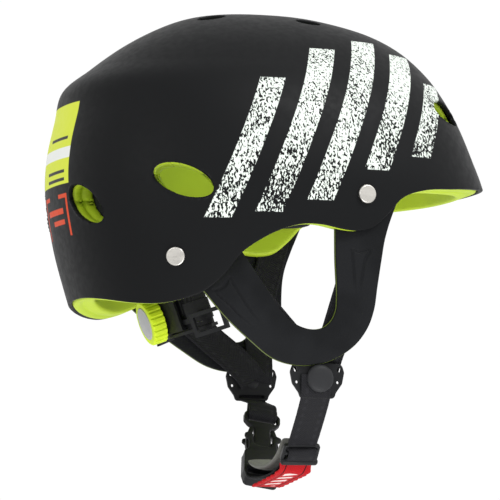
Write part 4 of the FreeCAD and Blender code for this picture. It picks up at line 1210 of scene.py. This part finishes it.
PRONG = [(5.9, -7.2), (8.2, -7.4), (10.4, -14), (10.9, -21), (10.3, -26), (8.6, -29.5), (7.4, -28), (7.5, -23),
         (7.6, -17), (6.6, -12), (5.9, -11)]
for body, sign in (("prong_front", 1), ("prong_rear", -1)):
    outline = [(sign * px, py) for px, py in PRONG]
    prong = plate(f"buckle_{body}_arm", [rounded(outline, 1.4)], 3.8, buckle_turn, 0.5)
    finish_piece(prong, PLASTIC, body, ["buckle_" + body])

x, z = settle(*DIVIDER, LEFT)
LEFT_WEB = [(x, 84.6, z + 4), (x, 84.6, z - 4), (x + 0.1, 83, z - 9)]
BUCKLE_LOOP = [(13, 0.6), (8.5, 2.2), (5.2, 3.4), (2.4, 2.6), (1.4, 0), (2.4, -2.6), (5.2, -3.4), (8.5, -2.4),
               (14, -0.9)]
LEFT_WEB += [tuple(MALE_MIDDLE + BUCKLE_UP * up + BUCKLE_OUT * out) for up, out in BUCKLE_LOOP]
spread = [(1, 0, 0)] * 3 + [tuple(BUCKLE_ACROSS)] * len(BUCKLE_LOOP)
web = strap("chin_web_left_weave", LEFT_WEB, spread)
finish_piece(web, BLACK_WEB, ("ear_left", "chin_left", (x, 84, z), (x, 76, z - 17)), ["chin_web_left"])

# ---- finishes of the pieces kept from the frame
KEPT = {
    PLASTIC: ["rear_cradle", "ratchet_housing", "hanger_bracket_left", "hanger_bracket_right",
              "rack_band_left", "rack_band_right"],
    PLASTIC_GREY: ["strap_guide_left", "strap_guide_right"],
    NICKEL: ["rivet_caps", "rivet_washers", "hanger_pins", "dial_pinion"],
    DIAL_LIME: ["dial_knob"],
    DIAL_DISC: ["dial_cap"],
}
for material, nodes in KEPT.items():
    for node in nodes:
        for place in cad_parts[node].material_slots:
            place.material = material

# ---- stage
scene = bpy.context.scene
scene.view_settings.view_transform = "Standard"
world = bpy.data.worlds.new("studio")
scene.world = world
world.use_nodes = True
sky = world.node_tree
background = sky.nodes["Background"]
place = sky.nodes.new("ShaderNodeTexCoord")
split = sky.nodes.new("ShaderNodeSeparateXYZ")
sky.links.new(place.outputs["Generated"], split.inputs[0])
level = sky.nodes.new("ShaderNodeMapRange")
level.interpolation_type = "SMOOTHSTEP"
sky.links.new(split.outputs["Z"], level.inputs["Value"])
for socket, number in (("From Min", -0.3), ("From Max", -0.02), ("To Min", 0.55), ("To Max", 1.02)):
    level.inputs[socket].default_value = number
sky.links.new(level.outputs[0], background.inputs["Strength"])
background.inputs["Color"].default_value = (1, 1, 1, 1)

FLOOR_REACH, FLOOR_HEIGHT = 9000, -820
corners = [(x * FLOOR_REACH, y * FLOOR_REACH, FLOOR_HEIGHT) for x, y in ((-1, -1), (1, -1), (1, 1), (-1, 1))]
floor = mesh_object("floor", corners, [(0, 1, 2, 3)], smooth=False)
floor.data.materials.append(Finish("floor_pale", (0.8, 0.8, 0.8), 0.8).material)


def area_light(name, place, target, size, power):
    data = bpy.data.lights.new(name, "AREA")
    data.shape = "RECTANGLE"
    data.size, data.size_y = size
    data.energy = power
    light = linked(name, data)
    light.location = place
    light.rotation_euler = (Vector(target) - Vector(place)).to_track_quat("-Z", "Y").to_euler()
    return light


area_light("key", (0.9, -1.3, 1.5), (0, 0, 0.1), (0.9, 0.6), 22)
area_light("fill", (-1.6, -1.2, 0.5), (0, 0, 0.05), (1.0, 1.0), 5)
area_light("under", (0.0, -0.5, -0.62), (0, 0.03, 0.08), (0.5, 0.4), 3)

CAMERA_DISTANCE = 2.3
CAMERA_AZIMUTH, CAMERA_ELEVATION = math.radians(-18), math.radians(-5.35)
back = Vector((math.sin(CAMERA_AZIMUTH) * math.cos(CAMERA_ELEVATION),
               -math.cos(CAMERA_AZIMUTH) * math.cos(CAMERA_ELEVATION), math.sin(CAMERA_ELEVATION)))
camera = linked("camera", bpy.data.cameras.new("camera"))
camera.location = Vector((-9.3, 0, 40.4)) * MM + back * CAMERA_DISTANCE
camera.rotation_euler = back.to_track_quat("Z", "Y").to_euler()
camera.data.lens = 261.6
camera.data.sensor_width = 36
camera.data.dof.use_dof = False
scene.camera = camera
